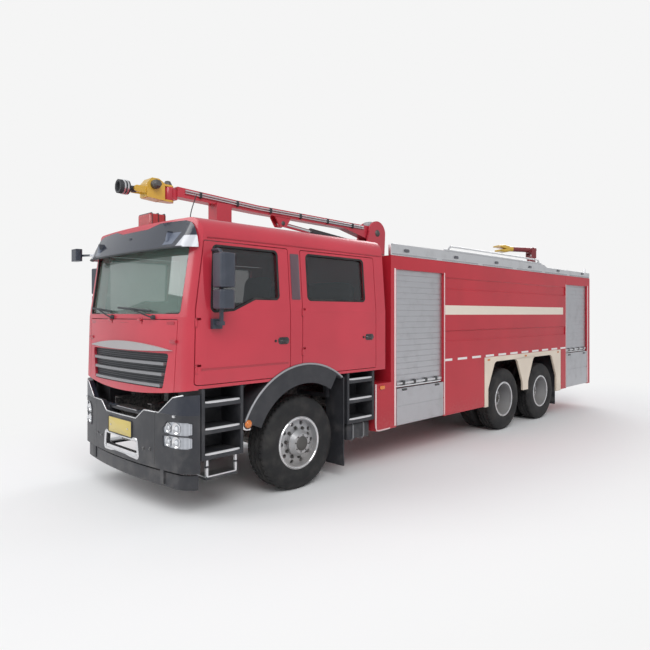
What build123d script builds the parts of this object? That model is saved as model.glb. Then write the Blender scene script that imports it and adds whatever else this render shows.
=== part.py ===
from build123d import *
import os
from math import cos, radians, sin

# Six-wheeled crew-cab fire truck with a roof boom. Millimetres, +X forward, +Y left, +Z up.
# The origin is on the ground under the middle of the bounding box.

# Whole vehicle
OVERALL_LENGTH = 9900
BODY_WIDTH = 2500
CAB_WIDTH = 2490
FRONT_OVERHANG = 1560
CAB_BEHIND_AXLE = 1400
BODY_CLEAR_OF_CAB = 110
REAR_STEP_REACH = 50
BOGIE_SPREAD = 1400
TYRE_DIAMETER = 1050
PANEL_GAP = 8
SEAT_GAP = 0.3

# The body behind the cab: a locker, the tank over the bogie, a locker
FRONT_LOCKER_SHARE = 125 / 678
REAR_LOCKER_SHARE = 126 / 678
REAR_POST = 230
ARCH_AHEAD_OF_MID = 710
ARCH_BEHIND_REAR = 800
FRONT_AXLE_X = OVERALL_LENGTH / 2 - FRONT_OVERHANG
BODY_FRONT_X = FRONT_AXLE_X - CAB_BEHIND_AXLE - BODY_CLEAR_OF_CAB
BODY_REAR_X = -OVERALL_LENGTH / 2 + REAR_STEP_REACH
BODY_LENGTH = BODY_FRONT_X - BODY_REAR_X
TANK_FRONT_X = BODY_FRONT_X - FRONT_LOCKER_SHARE * BODY_LENGTH
TANK_REAR_X = BODY_REAR_X + REAR_LOCKER_SHARE * BODY_LENGTH
ARCH_PANEL_REAR_X = TANK_REAR_X + REAR_POST
REAR_AXLE_X = ARCH_PANEL_REAR_X + ARCH_BEHIND_REAR
MID_AXLE_X = REAR_AXLE_X + BOGIE_SPREAD
ARCH_PANEL_FRONT_X = MID_AXLE_X + ARCH_AHEAD_OF_MID
BOGIE_X = (MID_AXLE_X + REAR_AXLE_X) / 2
AXLE_Z = TYRE_DIAMETER / 2

# Ladder frame
RAIL_OUT = 430
RAIL_FLANGE = 90
RAIL_WEB = 12
RAIL_TOP_Z = 1050
RAIL_DEPTH = 280
RAIL_BOTTOM_Z = RAIL_TOP_Z - RAIL_DEPTH
RAIL_FRONT_X = FRONT_AXLE_X + 1400
RAIL_REAR_X = -OVERALL_LENGTH / 2 + 200
SUBFRAME_H = 100
TOW_FRONT_Z = 630
TOW_REAR_Z = 800
TOW_PLATE = 40
TOW_REACH = 150
TOW_HOLE_R = 25
SUBFRAME_TOP_Z = RAIL_TOP_Z + SUBFRAME_H

# Cab hull
CAB_NOSE_X = FRONT_AXLE_X + 1490
CAB_BACK_X = FRONT_AXLE_X - CAB_BEHIND_AXLE
CAB_FRONT_BOTTOM_Z = 1170
CAB_CORNER_BOTTOM_Z = 1262
CAB_SILL_Z = 1270
CAB_WAIST_Z = 1960
CAB_BELT_Z = 2020
CAB_GUTTER_Z = 2775
CAB_ROOF_Z = 2950
CAB_BOW = 95
CAB_CORNER_R = 190
CAB_ROOF_R = 170
CAB_TUMBLE = 75
CAB_WALL = 60
SCREEN_LEAN = 8
NOSE_LEAN = 1.5
CAB_HALF = CAB_WIDTH / 2

# Cab openings, as distances ahead of the front axle
DOOR_FRONT_X = FRONT_AXLE_X + 1350
DOOR_BOTTOM_Z = 1300
DOOR_TOP_Z = 2715
FRONT_DOOR_BACK_X = FRONT_AXLE_X + 200
REAR_DOOR_FRONT_X = FRONT_AXLE_X + 30
REAR_DOOR_BACK_X = FRONT_AXLE_X - 1220
WINDOW_TOP_Z = 2668
WINDOW_SILL_Z = 2148
WINDOW_DIP_Z = 2030
WINDOW_R = 45
PANE_DEPTH = 24
PANE_THICK = 6
SCREEN_BOTTOM_Z = 1990
SCREEN_TOP_Z = 2710
SCREEN_HALF = 1060
HOOD_HALF = 1020
HOOD_TOP_Z = 1940
HOOD_THICK = 50

# Front wheel arch
ARCH_X = FRONT_AXLE_X - 30
ARCH_Z = 510
ARCH_OUTER_R = 920
ARCH_LIP_R = 700
ARCH_SKIN = 30
ARCH_INNER_Y = 930
ARCH_OUTER_Y = CAB_HALF + 12
ARCH_LIP_WIDE = 35
ARCH_STAY_TOP_Z = 1225
GUARD_BEHIND = 645

# Front bumper
BUMPER_NOSE_X = OVERALL_LENGTH / 2 - 20
BUMPER_BACK_X = DOOR_FRONT_X - 40
BUMPER_BOTTOM_Z = 455
BUMPER_TOP_Z = 1010
BUMPER_NOTCH_Z = 907
BUMPER_CORNER_Z = CAB_CORNER_BOTTOM_Z - 37
BUMPER_WALL = 55
BUMPER_BOW = 110
BUMPER_R = 250
VALANCE_BOTTOM_Z = 290
VALANCE_TOP_Z = 430
VALANCE_WALL = 30
LAMP_IN_Y = 850
LAMP_OUT_Y = 1190
LAMP_BOTTOM_Z = 690
LAMP_SPLIT_Z = 812
LAMP_TOP_Z = 945

# Superstructure
BODY_HALF = BODY_WIDTH / 2
BODY_BOTTOM_Z = 480
DECK_Z = 2770
COAMING_TOP_Z = 2930
COAMING_WALL = 50
COAMING_DROP = 45
LOCKER_WALL = 35
TUNNEL_HALF = 540
WELL_TOP_Z = 1230
WELL_IN_Y = 560
ARCH_PANEL_T = 40
ARCH_PANEL_TOP_Z = 1280
SHUTTER_T = 22
SHUTTER_SET_BACK = 12
SHUTTER_TOP_Z = 2590
SLAT_PITCH = 80

# Rear step
STEP_LOW_Z = 520
STEP_HIGH_Z = 660
TAIL_LAMP_Y = 820
TAIL_LAMP_DEPTH = 28
LADDER_Y = (720, 1120)

# Wheels
FRONT_TRACK_HALF = 1015
FRONT_TYRE_WIDE = 330
TWIN_OUT_Y = 1070
TWIN_PITCH = 350
TWIN_TYRE_WIDE = 300
RIM_R = 300
KINGPIN_Y = 860
SPINDLE_R = 48
HUB_BORE_R = SPINDLE_R + SEAT_GAP
REAR_SPINDLE_R = 75

# Boom over the cab
TURRET_X = TANK_FRONT_X + 240
BOOM_PIVOT_Z = 3270
LIFT_BASE_DROP = 220
LIFT_EYE_DROP = 55
PEDESTAL_TOP_Z = DECK_Z + 100
BOOM_HALF = 70
BOOM_FRONT_X = FRONT_AXLE_X + 900
CHEEK_IN = 92
CHEEK_T = 30
BOOM_PIN_R = 40
LIFT_BASE_X = TURRET_X + 180
LIFT_BASE_Z = BOOM_PIVOT_Z - LIFT_BASE_DROP
LIFT_EYE_X = FRONT_AXLE_X - 660
LIFT_EYE_Z = BOOM_PIVOT_Z - LIFT_EYE_DROP
LIFT_BARREL_R = 55
LIFT_ROD_R = 32
LIFT_PIN_R = 28
MONITOR_AXIS_X = BOOM_FRONT_X + 85
MONITOR_Z = 3365
NOZZLE_AXIS_X = FRONT_AXLE_X + 1375
NOZZLE_TIP_X = OVERALL_LENGTH / 2

# Rear deck monitor
DECK_MONITOR_X = BODY_REAR_X + 260
DECK_MONITOR_YAW = -28
DECK_RISER_TOP_Z = 2960
DECK_PITCH_Z = 3440


def block(x, y, z):
    # A box from its low and high value on each axis.
    size = [abs(v[1] - v[0]) for v in (x, y, z)]
    middle = [(v[0] + v[1]) / 2 for v in (x, y, z)]
    return Pos(*middle) * Box(*size)


def both_sides(shape):
    return [shape, mirror(shape, about=Plane.XZ)]


def group(shapes):
    return Compound(children=[s for item in shapes for s in item.solids()])


def side_face(points, radius=0, grow=0):
    # A face in X and Z at Y = 0, its corners rounded, then grown or shrunk.
    face = Polygon(*points, align=None)
    if radius:
        face = fillet(face.vertices(), radius)
    if grow:
        face = offset(face, amount=grow, kind=Kind.INTERSECTION)
    return Plane((0, 0, 0), x_dir=(1, 0, 0), z_dir=(0, -1, 0)) * face


def front_face(points, radius=0, grow=0):
    # A face in Y and Z at X = 0.
    face = Polygon(*points, align=None)
    if radius:
        face = fillet(face.vertices(), radius)
    if grow:
        face = offset(face, amount=grow, kind=Kind.INTERSECTION)
    return Plane((0, 0, 0), x_dir=(0, 1, 0), z_dir=(1, 0, 0)) * face


def across(face, y):
    return Pos(0, y[0], 0) * extrude(face, amount=y[1] - y[0], dir=(0, 1, 0))


def along(face, x):
    return Pos(x[0], 0, 0) * extrude(face, amount=x[1] - x[0], dir=(1, 0, 0))


def rod(start, end, radius):
    # A round bar between two points.
    line = Vector(*end) - Vector(*start)
    return extrude(Plane(start, z_dir=line) * Circle(radius), amount=line.length)


def ring_y(profile, x, y, z):
    # A profile of (radius, offset along Y) turned about an axle.
    return Pos(x, y, z) * revolve(Polygon(*profile, align=None), axis=Axis.Y)


def bowed_plan(nose, half, bow, corner_r, back):
    # A plan with a gently bowed front and rounded front corners.
    front = ThreePointArc((nose - bow, -half), (nose, 0), (nose - bow, half))
    sides = Polyline((nose - bow, half), (back, half), (back, -half), (nose - bow, -half))
    face = make_face([front, sides])
    corners = [v for v in face.vertices() if v.X > nose - bow - 1]
    return fillet(corners, corner_r)


def cab_hull(inset):
    # The cab's skin moved in by a distance: a leaning screen over a lower nose, cut to one section.
    half = CAB_HALF - inset
    plan = bowed_plan(CAB_NOSE_X - inset, half, CAB_BOW, CAB_CORNER_R - inset, CAB_BACK_X - 600)
    plan = Pos(0, 0, CAB_WAIST_Z) * plan
    lean = radians(SCREEN_LEAN)
    rise = (CAB_ROOF_Z - inset - CAB_WAIST_Z) / cos(lean)
    upper = extrude(plan, amount=rise, dir=(-sin(lean), 0, cos(lean)))
    nose = radians(NOSE_LEAN)
    drop = (CAB_WAIST_Z - CAB_FRONT_BOTTOM_Z + 30) / cos(nose)
    lower = extrude(plan, amount=drop, dir=(sin(nose), 0, -cos(nose)))
    shoulder = half - CAB_TUMBLE
    top = CAB_ROOF_Z - inset
    points = [(-half, 0), (-half, CAB_BELT_Z), (-shoulder, top)]
    points += [(-y, z) for y, z in reversed(points)]
    section = Polygon(*points, align=None)
    section = fillet([v for v in section.vertices() if v.Y > CAB_BELT_Z + 1], CAB_ROOF_R - inset)
    section = Plane((CAB_BACK_X + inset, 0, 0), x_dir=(0, 1, 0), z_dir=(1, 0, 0)) * section
    return (upper + lower) & extrude(section, amount=OVERALL_LENGTH, dir=(1, 0, 0))


CAB_OUTER = cab_hull(0)
CAB_INNER = cab_hull(CAB_WALL)
CAB_FLOOR_Z = CAB_SILL_Z + CAB_WALL
SIDE = (CAB_HALF - 200, CAB_HALF + 100)

# Door outlines in X and Z, each with its window; the front edge leans with the nose
DOOR_LEAN = (CAB_WAIST_Z - DOOR_BOTTOM_Z) * sin(radians(NOSE_LEAN))
FRONT_DOOR = [
    (DOOR_FRONT_X + DOOR_LEAN, DOOR_BOTTOM_Z),
    (DOOR_FRONT_X, CAB_BELT_Z),
    (DOOR_FRONT_X - 95, DOOR_TOP_Z),
    (FRONT_DOOR_BACK_X, DOOR_TOP_Z),
    (FRONT_DOOR_BACK_X, DOOR_BOTTOM_Z),
]
FRONT_WINDOW = [
    (DOOR_FRONT_X - 150, WINDOW_DIP_Z - 20),
    (DOOR_FRONT_X - 205, WINDOW_TOP_Z),
    (FRONT_DOOR_BACK_X + 155, WINDOW_TOP_Z),
    (FRONT_DOOR_BACK_X + 155, WINDOW_SILL_Z),
    (FRONT_DOOR_BACK_X + 470, WINDOW_SILL_Z),
    (FRONT_DOOR_BACK_X + 740, WINDOW_DIP_Z),
]
REAR_DOOR = [
    (REAR_DOOR_FRONT_X, DOOR_BOTTOM_Z),
    (REAR_DOOR_FRONT_X, DOOR_TOP_Z),
    (REAR_DOOR_BACK_X, DOOR_TOP_Z),
    (REAR_DOOR_BACK_X, DOOR_BOTTOM_Z),
]
REAR_WINDOW = [
    (REAR_DOOR_FRONT_X - 95, WINDOW_SILL_Z),
    (REAR_DOOR_FRONT_X - 95, WINDOW_TOP_Z),
    (REAR_DOOR_BACK_X + 205, WINDOW_TOP_Z),
    (REAR_DOOR_BACK_X + 205, WINDOW_SILL_Z),
]
SCREEN = [
    (-SCREEN_HALF + 15, SCREEN_BOTTOM_Z),
    (-SCREEN_HALF, SCREEN_TOP_Z),
    (SCREEN_HALF, SCREEN_TOP_Z),
    (SCREEN_HALF - 15, SCREEN_BOTTOM_Z),
]
HOOD = [
    (-HOOD_HALF + 40, CAB_FRONT_BOTTOM_Z - 50),
    (-HOOD_HALF, HOOD_TOP_Z),
    (HOOD_HALF, HOOD_TOP_Z),
    (HOOD_HALF - 40, CAB_FRONT_BOTTOM_Z - 50),
]
GRILLE_LOW = (795, CAB_FRONT_BOTTOM_Z + 80)
GRILLE_HIGH = (885, CAB_FRONT_BOTTOM_Z + 430)
GRILLE_BARS = (1276, 1389, 1494)
GRILLE = [
    (-GRILLE_LOW[0], GRILLE_LOW[1]),
    (-GRILLE_HIGH[0], GRILLE_HIGH[1]),
    GRILLE_HIGH,
    GRILLE_LOW,
]
WING_HALF = 950
WING_TIP_Z = GRILLE_HIGH[1] + 30
WING_SPAN_Z = (GRILLE_HIGH[1] + 10, GRILLE_HIGH[1] + 103)
NOSE_SPAN = (CAB_NOSE_X - 400, CAB_NOSE_X + 200)


def arc_band(half, tip_z, low_z, high_z):
    # A face in Y and Z between two arcs that share their ends.
    low = ThreePointArc((-half, tip_z), (0, low_z), (half, tip_z))
    high = ThreePointArc((half, tip_z), (0, high_z), (-half, tip_z))
    return Plane((0, 0, 0), x_dir=(0, 1, 0), z_dir=(1, 0, 0)) * make_face([low, high])


def chin():
    # What lies under the cab's arched front edge.
    half = CAB_HALF + 5
    edge = ThreePointArc((-half, CAB_CORNER_BOTTOM_Z), (0, CAB_FRONT_BOTTOM_Z), (half, CAB_CORNER_BOTTOM_Z))
    sides = Polyline((half, CAB_CORNER_BOTTOM_Z), (half, 900), (-half, 900), (-half, CAB_CORNER_BOTTOM_Z))
    face = Plane((0, 0, 0), x_dir=(0, 1, 0), z_dir=(1, 0, 0)) * make_face([edge, sides])
    return along(face, (CAB_BACK_X, CAB_NOSE_X + 200))


def arch_disc(radius, y):
    return rod((ARCH_X, y[0], ARCH_Z), (ARCH_X, y[1], ARCH_Z), radius)


# Hinges of the cab's doors and of the service flap
HINGE_PIN_R = 7
HINGE_BARREL_R = 14
HINGE_CLEAR_R = 18
HINGE_ARM_CLEAR_R = 44
HINGE_HALF = 30
FRONT_HINGE_Y = CAB_HALF - 33
HOOD_HINGE_X = CAB_NOSE_X + 1
HOOD_HINGE_Z = HOOD_TOP_Z - PANEL_GAP


def hinge_sets(points, axis, arm):
    # For each point: the barrel's room, the fixed pin with its arm, the arm's room, the barrel and its bore.
    a, d = Vector(*axis), Vector(*arm)

    def bar(point, low, high, radius):
        ends = [Vector(*point) + a * k for k in (low, high)]
        return rod(tuple(ends[0]), tuple(ends[1]), radius)

    made = []
    for point in points:
        top = Vector(*point) + a * (HINGE_HALF + 9)
        pin = bar(point, -HINGE_HALF - 5, HINGE_HALF + 19, HINGE_PIN_R)
        made.append({
            "room": bar(point, -HINGE_HALF - 10, HINGE_HALF + 23, HINGE_CLEAR_R),
            "pin": pin + rod(tuple(top), tuple(top + d), HINGE_PIN_R),
            "arm_room": bar(point, HINGE_HALF, HINGE_HALF + 23, HINGE_ARM_CLEAR_R),
            "barrel": bar(point, -HINGE_HALF, HINGE_HALF, HINGE_BARREL_R),
            "bore": bar(point, -HINGE_HALF - 10, HINGE_HALF + 10, HINGE_PIN_R + SEAT_GAP),
        })
    return made


DOOR_ARM = (32, -55, 0)
FRONT_DOOR_HINGES = hinge_sets(
    [(DOOR_FRONT_X - PANEL_GAP, FRONT_HINGE_Y, z) for z in (1450, 1900)], (0, 0, 1), DOOR_ARM)
REAR_DOOR_HINGES = hinge_sets(
    [(REAR_DOOR_FRONT_X - PANEL_GAP, CAB_HALF, z) for z in (1560, 2000)], (0, 0, 1), DOOR_ARM)
HOOD_HINGES = hinge_sets(
    [(HOOD_HINGE_X, y, HOOD_HINGE_Z) for y in (-350, 350)], (0, 1, 0), (-21, 0, 36))


def fit_fixed(shape, hinges, mirrored):
    # Adds the hinges' pins to the piece that stays still.
    for hinge in hinges:
        shape = shape - hinge["room"] + hinge["pin"]
        if mirrored:
            shape = shape - mirror(hinge["room"], about=Plane.XZ) + mirror(hinge["pin"], about=Plane.XZ)
    return shape


def fit_moving(shape, hinges):
    # Adds the hinges' barrels to the piece that swings.
    for hinge in hinges:
        shape = shape - hinge["arm_room"] + hinge["barrel"] - hinge["bore"]
    return shape


def cab_shell():
    shell = CAB_OUTER
    # The room inside stops at a firewall behind the service bay.
    room = CAB_INNER & block((0, CAB_NOSE_X - 330), (-2000, 2000), (CAB_FLOOR_Z, 4000))
    room += CAB_INNER & block((CAB_NOSE_X - 340, CAB_NOSE_X), (-2000, 2000), (CAB_WAIST_Z - 20, 4000))
    shell -= room
    bay = block((CAB_NOSE_X - 270, CAB_NOSE_X), (-HOOD_HALF + 60, HOOD_HALF - 60), (0, HOOD_TOP_Z - 60))
    shell -= bay
    # The sill and the corners end above the steps and the bumper.
    shell -= block((0, DOOR_FRONT_X - 20), (-2000, 2000), (0, CAB_SILL_Z))
    shell -= chin()
    # Engine tunnel in the floor.
    tunnel_x = (FRONT_AXLE_X - 540, CAB_NOSE_X - 250)
    shell += block(tunnel_x, (-470, 470), (CAB_SILL_Z, CAB_SILL_Z + 300)) & CAB_OUTER
    shell -= block((tunnel_x[0] + 40, CAB_NOSE_X), (-430, 430), (0, CAB_SILL_Z + 260))
    for outline in (FRONT_DOOR, REAR_DOOR):
        for side in both_sides(across(side_face(outline, 30), SIDE)):
            shell -= side
    shell -= along(front_face(SCREEN, 40), NOSE_SPAN)
    shell -= along(front_face(HOOD, 25), NOSE_SPAN) & (CAB_OUTER - cab_hull(HOOD_THICK + PANEL_GAP))
    arch = ARCH_OUTER_R + PANEL_GAP
    for side in both_sides(arch_disc(arch, (ARCH_INNER_Y - 30, CAB_HALF + 100))):
        shell -= side
    shell = fit_fixed(shell, FRONT_DOOR_HINGES, True)
    shell = fit_fixed(shell, REAR_DOOR_HINGES, True)
    return fit_fixed(shell, HOOD_HINGES, False)


def door(outline, window, hinges):
    wall = CAB_OUTER - CAB_INNER
    panel = wall & across(side_face(outline, 30, -PANEL_GAP), SIDE)
    panel -= across(side_face(window, WINDOW_R), SIDE)
    return fit_moving(panel - arch_disc(ARCH_OUTER_R + PANEL_GAP, SIDE), hinges)


def pane(window):
    skin = cab_hull(PANE_DEPTH) - cab_hull(PANE_DEPTH + PANE_THICK)
    return skin & across(side_face(window, WINDOW_R, -SEAT_GAP), SIDE)


def windscreen():
    skin = cab_hull(PANE_DEPTH) - cab_hull(PANE_DEPTH + PANE_THICK)
    return skin & along(front_face(SCREEN, 40, -SEAT_GAP), NOSE_SPAN)


def hood_flap():
    skin = CAB_OUTER - cab_hull(HOOD_THICK)
    flap = skin & along(front_face(HOOD, 25, -PANEL_GAP), NOSE_SPAN)
    flap -= chin()
    return fit_moving(flap - along(front_face(GRILLE, 30), NOSE_SPAN), HOOD_HINGES)


def grille():
    # A dark back plate with three bars, under a wing that tapers to both ends.
    plate = (cab_hull(26) - cab_hull(HOOD_THICK - 6)) & along(front_face(GRILLE, 30, -1), NOSE_SPAN)
    face = cab_hull(-8) - cab_hull(35)
    for z in GRILLE_BARS:
        part = (z - GRILLE_LOW[1]) / (GRILLE_HIGH[1] - GRILLE_LOW[1])
        half = GRILLE_LOW[0] + part * (GRILLE_HIGH[0] - GRILLE_LOW[0]) - 45
        plate += face & block(NOSE_SPAN, (-half, half), (z - 15, z + 15))
    wing = along(arc_band(WING_HALF, WING_TIP_Z, *WING_SPAN_Z), NOSE_SPAN)
    return plate, (cab_hull(-16) - cab_hull(-SEAT_GAP)) & wing


KERB_MIRROR = (CAB_NOSE_X - 40, -CAB_HALF - 165, (2650, 2800))


def sun_visor():
    # A bowed shade leaning back over the screen's head, with two low humps along its top.
    lean = radians(27)
    low_z, high_z = SCREEN_TOP_Z - 70, CAB_ROOF_Z + 35
    nose = CAB_NOSE_X + 15
    outer = bowed_plan(nose, CAB_HALF - 60, CAB_BOW, 170, CAB_BACK_X)
    inner = bowed_plan(nose - 26, CAB_HALF - 86, CAB_BOW, 144, CAB_BACK_X - 100)
    rise = (high_z - low_z) / cos(lean)
    tilt = (-sin(lean), 0, cos(lean))
    shade = extrude(Pos(0, 0, low_z) * (outer - inner), amount=rise, dir=tilt)
    shade &= block((CAB_NOSE_X - 190, CAB_NOSE_X + 200), (-2000, 2000), (0, 4000))
    shade -= cab_hull(-SEAT_GAP)
    humps = [(1300, 2840), (1000, 2958), (800, 2988), (560, 2945), (300, 2887)]
    edge = [(-1300, low_z - 10)] + [(-y, z) for y, z in humps]
    edge += [(y, z) for y, z in reversed(humps)] + [(1300, low_z - 10)]
    shade &= along(front_face(edge, 45), NOSE_SPAN)
    # Three brackets carry it from the roof's front.
    for y in (-800, 0, 800):
        heights = (CAB_GUTTER_Z - 60, CAB_GUTTER_Z + 40)
        bracket = block((CAB_NOSE_X - 330, CAB_NOSE_X - 60), (y - 20, y + 20), heights)
        shade += bracket - cab_hull(-SEAT_GAP)
    shade = max(shade.solids(), key=lambda s: s.volume)
    # The kerb mirror hangs on an arm from the right end.
    x, y, z = KERB_MIRROR
    plan = RectangleRounded(80, 190, 34)
    head = extrude(Pos(x, y, z[0]) * plan, amount=z[1] - z[0], dir=(0, 0, 1))
    root = (CAB_NOSE_X - 180, -CAB_HALF + 135, z[0] + 70)
    return shade + (rod(root, (x, y, z[0] + 70), 14) + head - cab_hull(-SEAT_GAP))


def bumper_skin(outer, inner, z):
    back = BUMPER_BACK_X - 300
    plans = [
        Pos(0, 0, z[0]) * bowed_plan(BUMPER_NOSE_X - d, CAB_HALF - d, BUMPER_BOW, BUMPER_R - d, back)
        for d in (outer, inner)
    ]
    skin = extrude(plans[0], amount=z[1] - z[0], dir=(0, 0, 1))
    skin -= extrude(plans[1], amount=z[1] - z[0], dir=(0, 0, 1))
    return skin & block((BUMPER_BACK_X, OVERALL_LENGTH), (-2000, 2000), (0, 4000))


LAMP_CLUSTERS = [
    # low z, high z
    (LAMP_BOTTOM_Z, LAMP_SPLIT_Z - 6),
    (LAMP_SPLIT_Z + 6, LAMP_TOP_Z),
]


def lamp_face(z, grow=0):
    # One lamp's outline; the upper one is cut off at its inner top corner.
    points = [(LAMP_IN_Y, z[0]), (LAMP_IN_Y - 15, z[1]), (LAMP_OUT_Y, z[1]), (LAMP_OUT_Y, z[0])]
    if z[1] == LAMP_TOP_Z:
        points[1:2] = [(LAMP_IN_Y - 12, z[1] - 70), (LAMP_IN_Y + 60, z[1])]
    return along(front_face(points, 18, grow), (BUMPER_BACK_X, OVERALL_LENGTH))


def front_bumper():
    bar = bumper_skin(0, BUMPER_WALL, (BUMPER_BOTTOM_Z, BUMPER_CORNER_Z))
    # The top line drops to a notch in the middle and rises to both corners.
    half = [
        (350, BUMPER_NOTCH_Z), (500, BUMPER_TOP_Z), (760, BUMPER_TOP_Z), (1000, BUMPER_CORNER_Z - 40),
        (1300, BUMPER_CORNER_Z - 5),
    ]
    top = [(-1300, 1500)] + [(-y, z) for y, z in reversed(half)] + half + [(1300, 1500)]
    bar -= along(front_face(top, 12), (BUMPER_BACK_X - 5, OVERALL_LENGTH))
    for z in LAMP_CLUSTERS:
        for side in both_sides(lamp_face(z)):
            bar -= side
    mouth = [(-400, 505), (-370, 685), (370, 685), (400, 505)]
    bar -= along(front_face(mouth, 25), (BUMPER_BACK_X, OVERALL_LENGTH))
    bar += bumper_skin(25, 25 + VALANCE_WALL, (VALANCE_BOTTOM_Z, VALANCE_TOP_Z))
    posts = (BUMPER_NOSE_X - 140, BUMPER_NOSE_X - 60)
    for y in (-800, -455, 455, 800):
        bar += block(posts, (y - 35, y + 35), (VALANCE_BOTTOM_Z + 20, BUMPER_BOTTOM_Z + 60))
    for y in (-385, 385):
        stay = (RAIL_FRONT_X + SEAT_GAP, BUMPER_NOSE_X - 40)
        bar += block(stay, (y - 40, y + 40), (RAIL_BOTTOM_Z, BUMPER_NOTCH_Z + 60))
    # A tread plate lies behind the bar, under the cab's front edge.
    plan = bowed_plan(BUMPER_NOSE_X - BUMPER_WALL + 5, 720, 42, 6, RAIL_FRONT_X + 10)
    tread = Pos(0, 0, BUMPER_NOTCH_Z + 35) * plan
    return bar + extrude(tread, amount=25, dir=(0, 0, 1))


def headlamps():
    lamps = []
    skin = bumper_skin(6, BUMPER_WALL - 10, (BUMPER_BOTTOM_Z, BUMPER_CORNER_Z))
    for z in LAMP_CLUSTERS:
        lamps += both_sides(skin & lamp_face(z, -SEAT_GAP))
    return group(lamps)


def sector(r_in, r_out, from_deg, to_deg, y):
    # Part of a ring round the front arch's axis, angles from +X towards +Z.
    ring = arch_disc(r_out, y) - arch_disc(r_in, y)
    reach = r_out * 3
    mid = (from_deg + to_deg) / 2
    points = [(ARCH_X, ARCH_Z)]
    for angle in (from_deg, (from_deg + mid) / 2, mid, (mid + to_deg) / 2, to_deg):
        points.append((ARCH_X + reach * cos(radians(angle)), ARCH_Z + reach * sin(radians(angle))))
    return ring & across(side_face(points), y)


def fenders():
    y = (ARCH_INNER_Y, ARCH_OUTER_Y)
    arch = sector(ARCH_OUTER_R - ARCH_SKIN, ARCH_OUTER_R, 24, 128, y)
    lip = (ARCH_OUTER_Y - ARCH_LIP_WIDE, ARCH_OUTER_Y)
    arch += sector(ARCH_LIP_R, ARCH_OUTER_R - 5, 24, 122, lip)
    # A guard hangs from the arch's back end and ends in the mud flap.
    guard_x = FRONT_AXLE_X - GUARD_BEHIND
    arch += block((guard_x, guard_x + 14), (ARCH_INNER_Y, ARCH_OUTER_Y - 20), (150, ARCH_STAY_TOP_Z))
    # A stay carries the arch from the frame.
    stay_x = (guard_x + 2, guard_x + 60)
    arch += block(stay_x, (RAIL_OUT + SEAT_GAP, ARCH_INNER_Y + 60), (RAIL_TOP_Z - 90, RAIL_TOP_Z - 40))
    arch += block(stay_x, (ARCH_INNER_Y, ARCH_INNER_Y + 60), (RAIL_TOP_Z - 90, ARCH_STAY_TOP_Z))
    rear_x = REAR_AXLE_X - TYRE_DIAMETER / 2 - 120
    rear = block((rear_x, rear_x + 14), (WELL_IN_Y + 20, BODY_HALF - 50), (200, WELL_TOP_Z - SEAT_GAP))
    return group(both_sides(arch) + both_sides(rear))


STEP_BOXES = [
    # front x, back x, inner y, low z, tread heights
    (DOOR_FRONT_X - 50, FRONT_AXLE_X + 820, 800, 570, (620, 865, 1125)),
    (FRONT_AXLE_X - 700, FRONT_AXLE_X - 1190, 850, 640, (690, 935, 1180)),
]


def cab_steps():
    steps = []
    for front, back, inner, low, treads in STEP_BOXES:
        step = block((back, front), (inner, CAB_HALF - 6), (low, CAB_SILL_Z - SEAT_GAP))
        tops = list(treads[1:]) + [CAB_SILL_Z + 40]
        for tread, above in zip(treads, tops):
            step -= block((back + 35, front - 35), (inner + 90, CAB_HALF), (tread, above - 45))
        middle = (front + back) / 2
        stay = (RAIL_BOTTOM_Z + 40, RAIL_BOTTOM_Z + 120)
        step += block((middle - 40, middle + 40), (RAIL_OUT + SEAT_GAP, inner + 10), stay)
        if low < 600:
            for x in (back + 60, front - 90):
                step += block((x, x + 30), (CAB_HALF - 60, CAB_HALF - 30), (370, low + 5))
            step += block((back + 60, front - 60), (CAB_HALF - 190, CAB_HALF - 30), (370, 400))
        steps += both_sides(step)
    return group(steps)


def cab_fittings():
    # Dashboard with the steering column and wheel, fixed inside the cab.
    dash_x = (CAB_NOSE_X - 560, CAB_NOSE_X - 330 - SEAT_GAP)
    dash = block(dash_x, (-CAB_HALF + 130, CAB_HALF - 130), (1640, CAB_WAIST_Z - 10))
    hub = (dash_x[0] - 85, 560, 1985)
    dash += rod((dash_x[0] + 60, 560, 1720), hub, 35)
    tilt = Plane(hub, z_dir=(-0.62, 0, 0.78))
    wheel = tilt * Torus(225, 17)
    wheel += tilt * Box(440, 34, 16)
    wheel += tilt * Box(34, 440, 16)
    dash += wheel
    for y in (-700, 700):
        dash += block((dash_x[0] + 40, dash_x[1]), (y - 150, y + 150), (CAB_FLOOR_Z + SEAT_GAP, 1660))
    return dash


SEAT_PLACES = [
    # cushion front x, middle y, width
    (FRONT_AXLE_X + 760, 620, 520),
    (FRONT_AXLE_X + 760, -620, 520),
    (FRONT_AXLE_X - 560, 0, 1900),
]


def seats():
    made = []
    for front, y, wide in SEAT_PLACES:
        half = wide / 2
        floor = CAB_FLOOR_Z + SEAT_GAP
        if wide > 1000:
            base = block((front - 480, front - 20), (y - half, y + half), (floor, floor + 290))
        else:
            base = block((front - 440, front - 40), (y - 120, y + 120), (floor, floor + 290))
        cushion = block((front - 520, front), (y - half, y + half), (floor + 290, floor + 430))
        back_line = [
            (front - 520, floor + 400), (front - 400, floor + 400),
            (front - 500, floor + 1120), (front - 600, floor + 1120),
        ]
        back = across(side_face(back_line, 40), (y - half, y + half))
        made.append(base + cushion + back)
    return group(made)


def body_section(x):
    # The body's outline over the frame tunnel.
    points = [
        (-BODY_HALF, BODY_BOTTOM_Z), (-BODY_HALF, DECK_Z), (BODY_HALF, DECK_Z), (BODY_HALF, BODY_BOTTOM_Z),
        (TUNNEL_HALF, BODY_BOTTOM_Z), (TUNNEL_HALF, SUBFRAME_TOP_Z), (-TUNNEL_HALF, SUBFRAME_TOP_Z),
        (-TUNNEL_HALF, BODY_BOTTOM_Z),
    ]
    return along(front_face(points), x)


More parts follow.
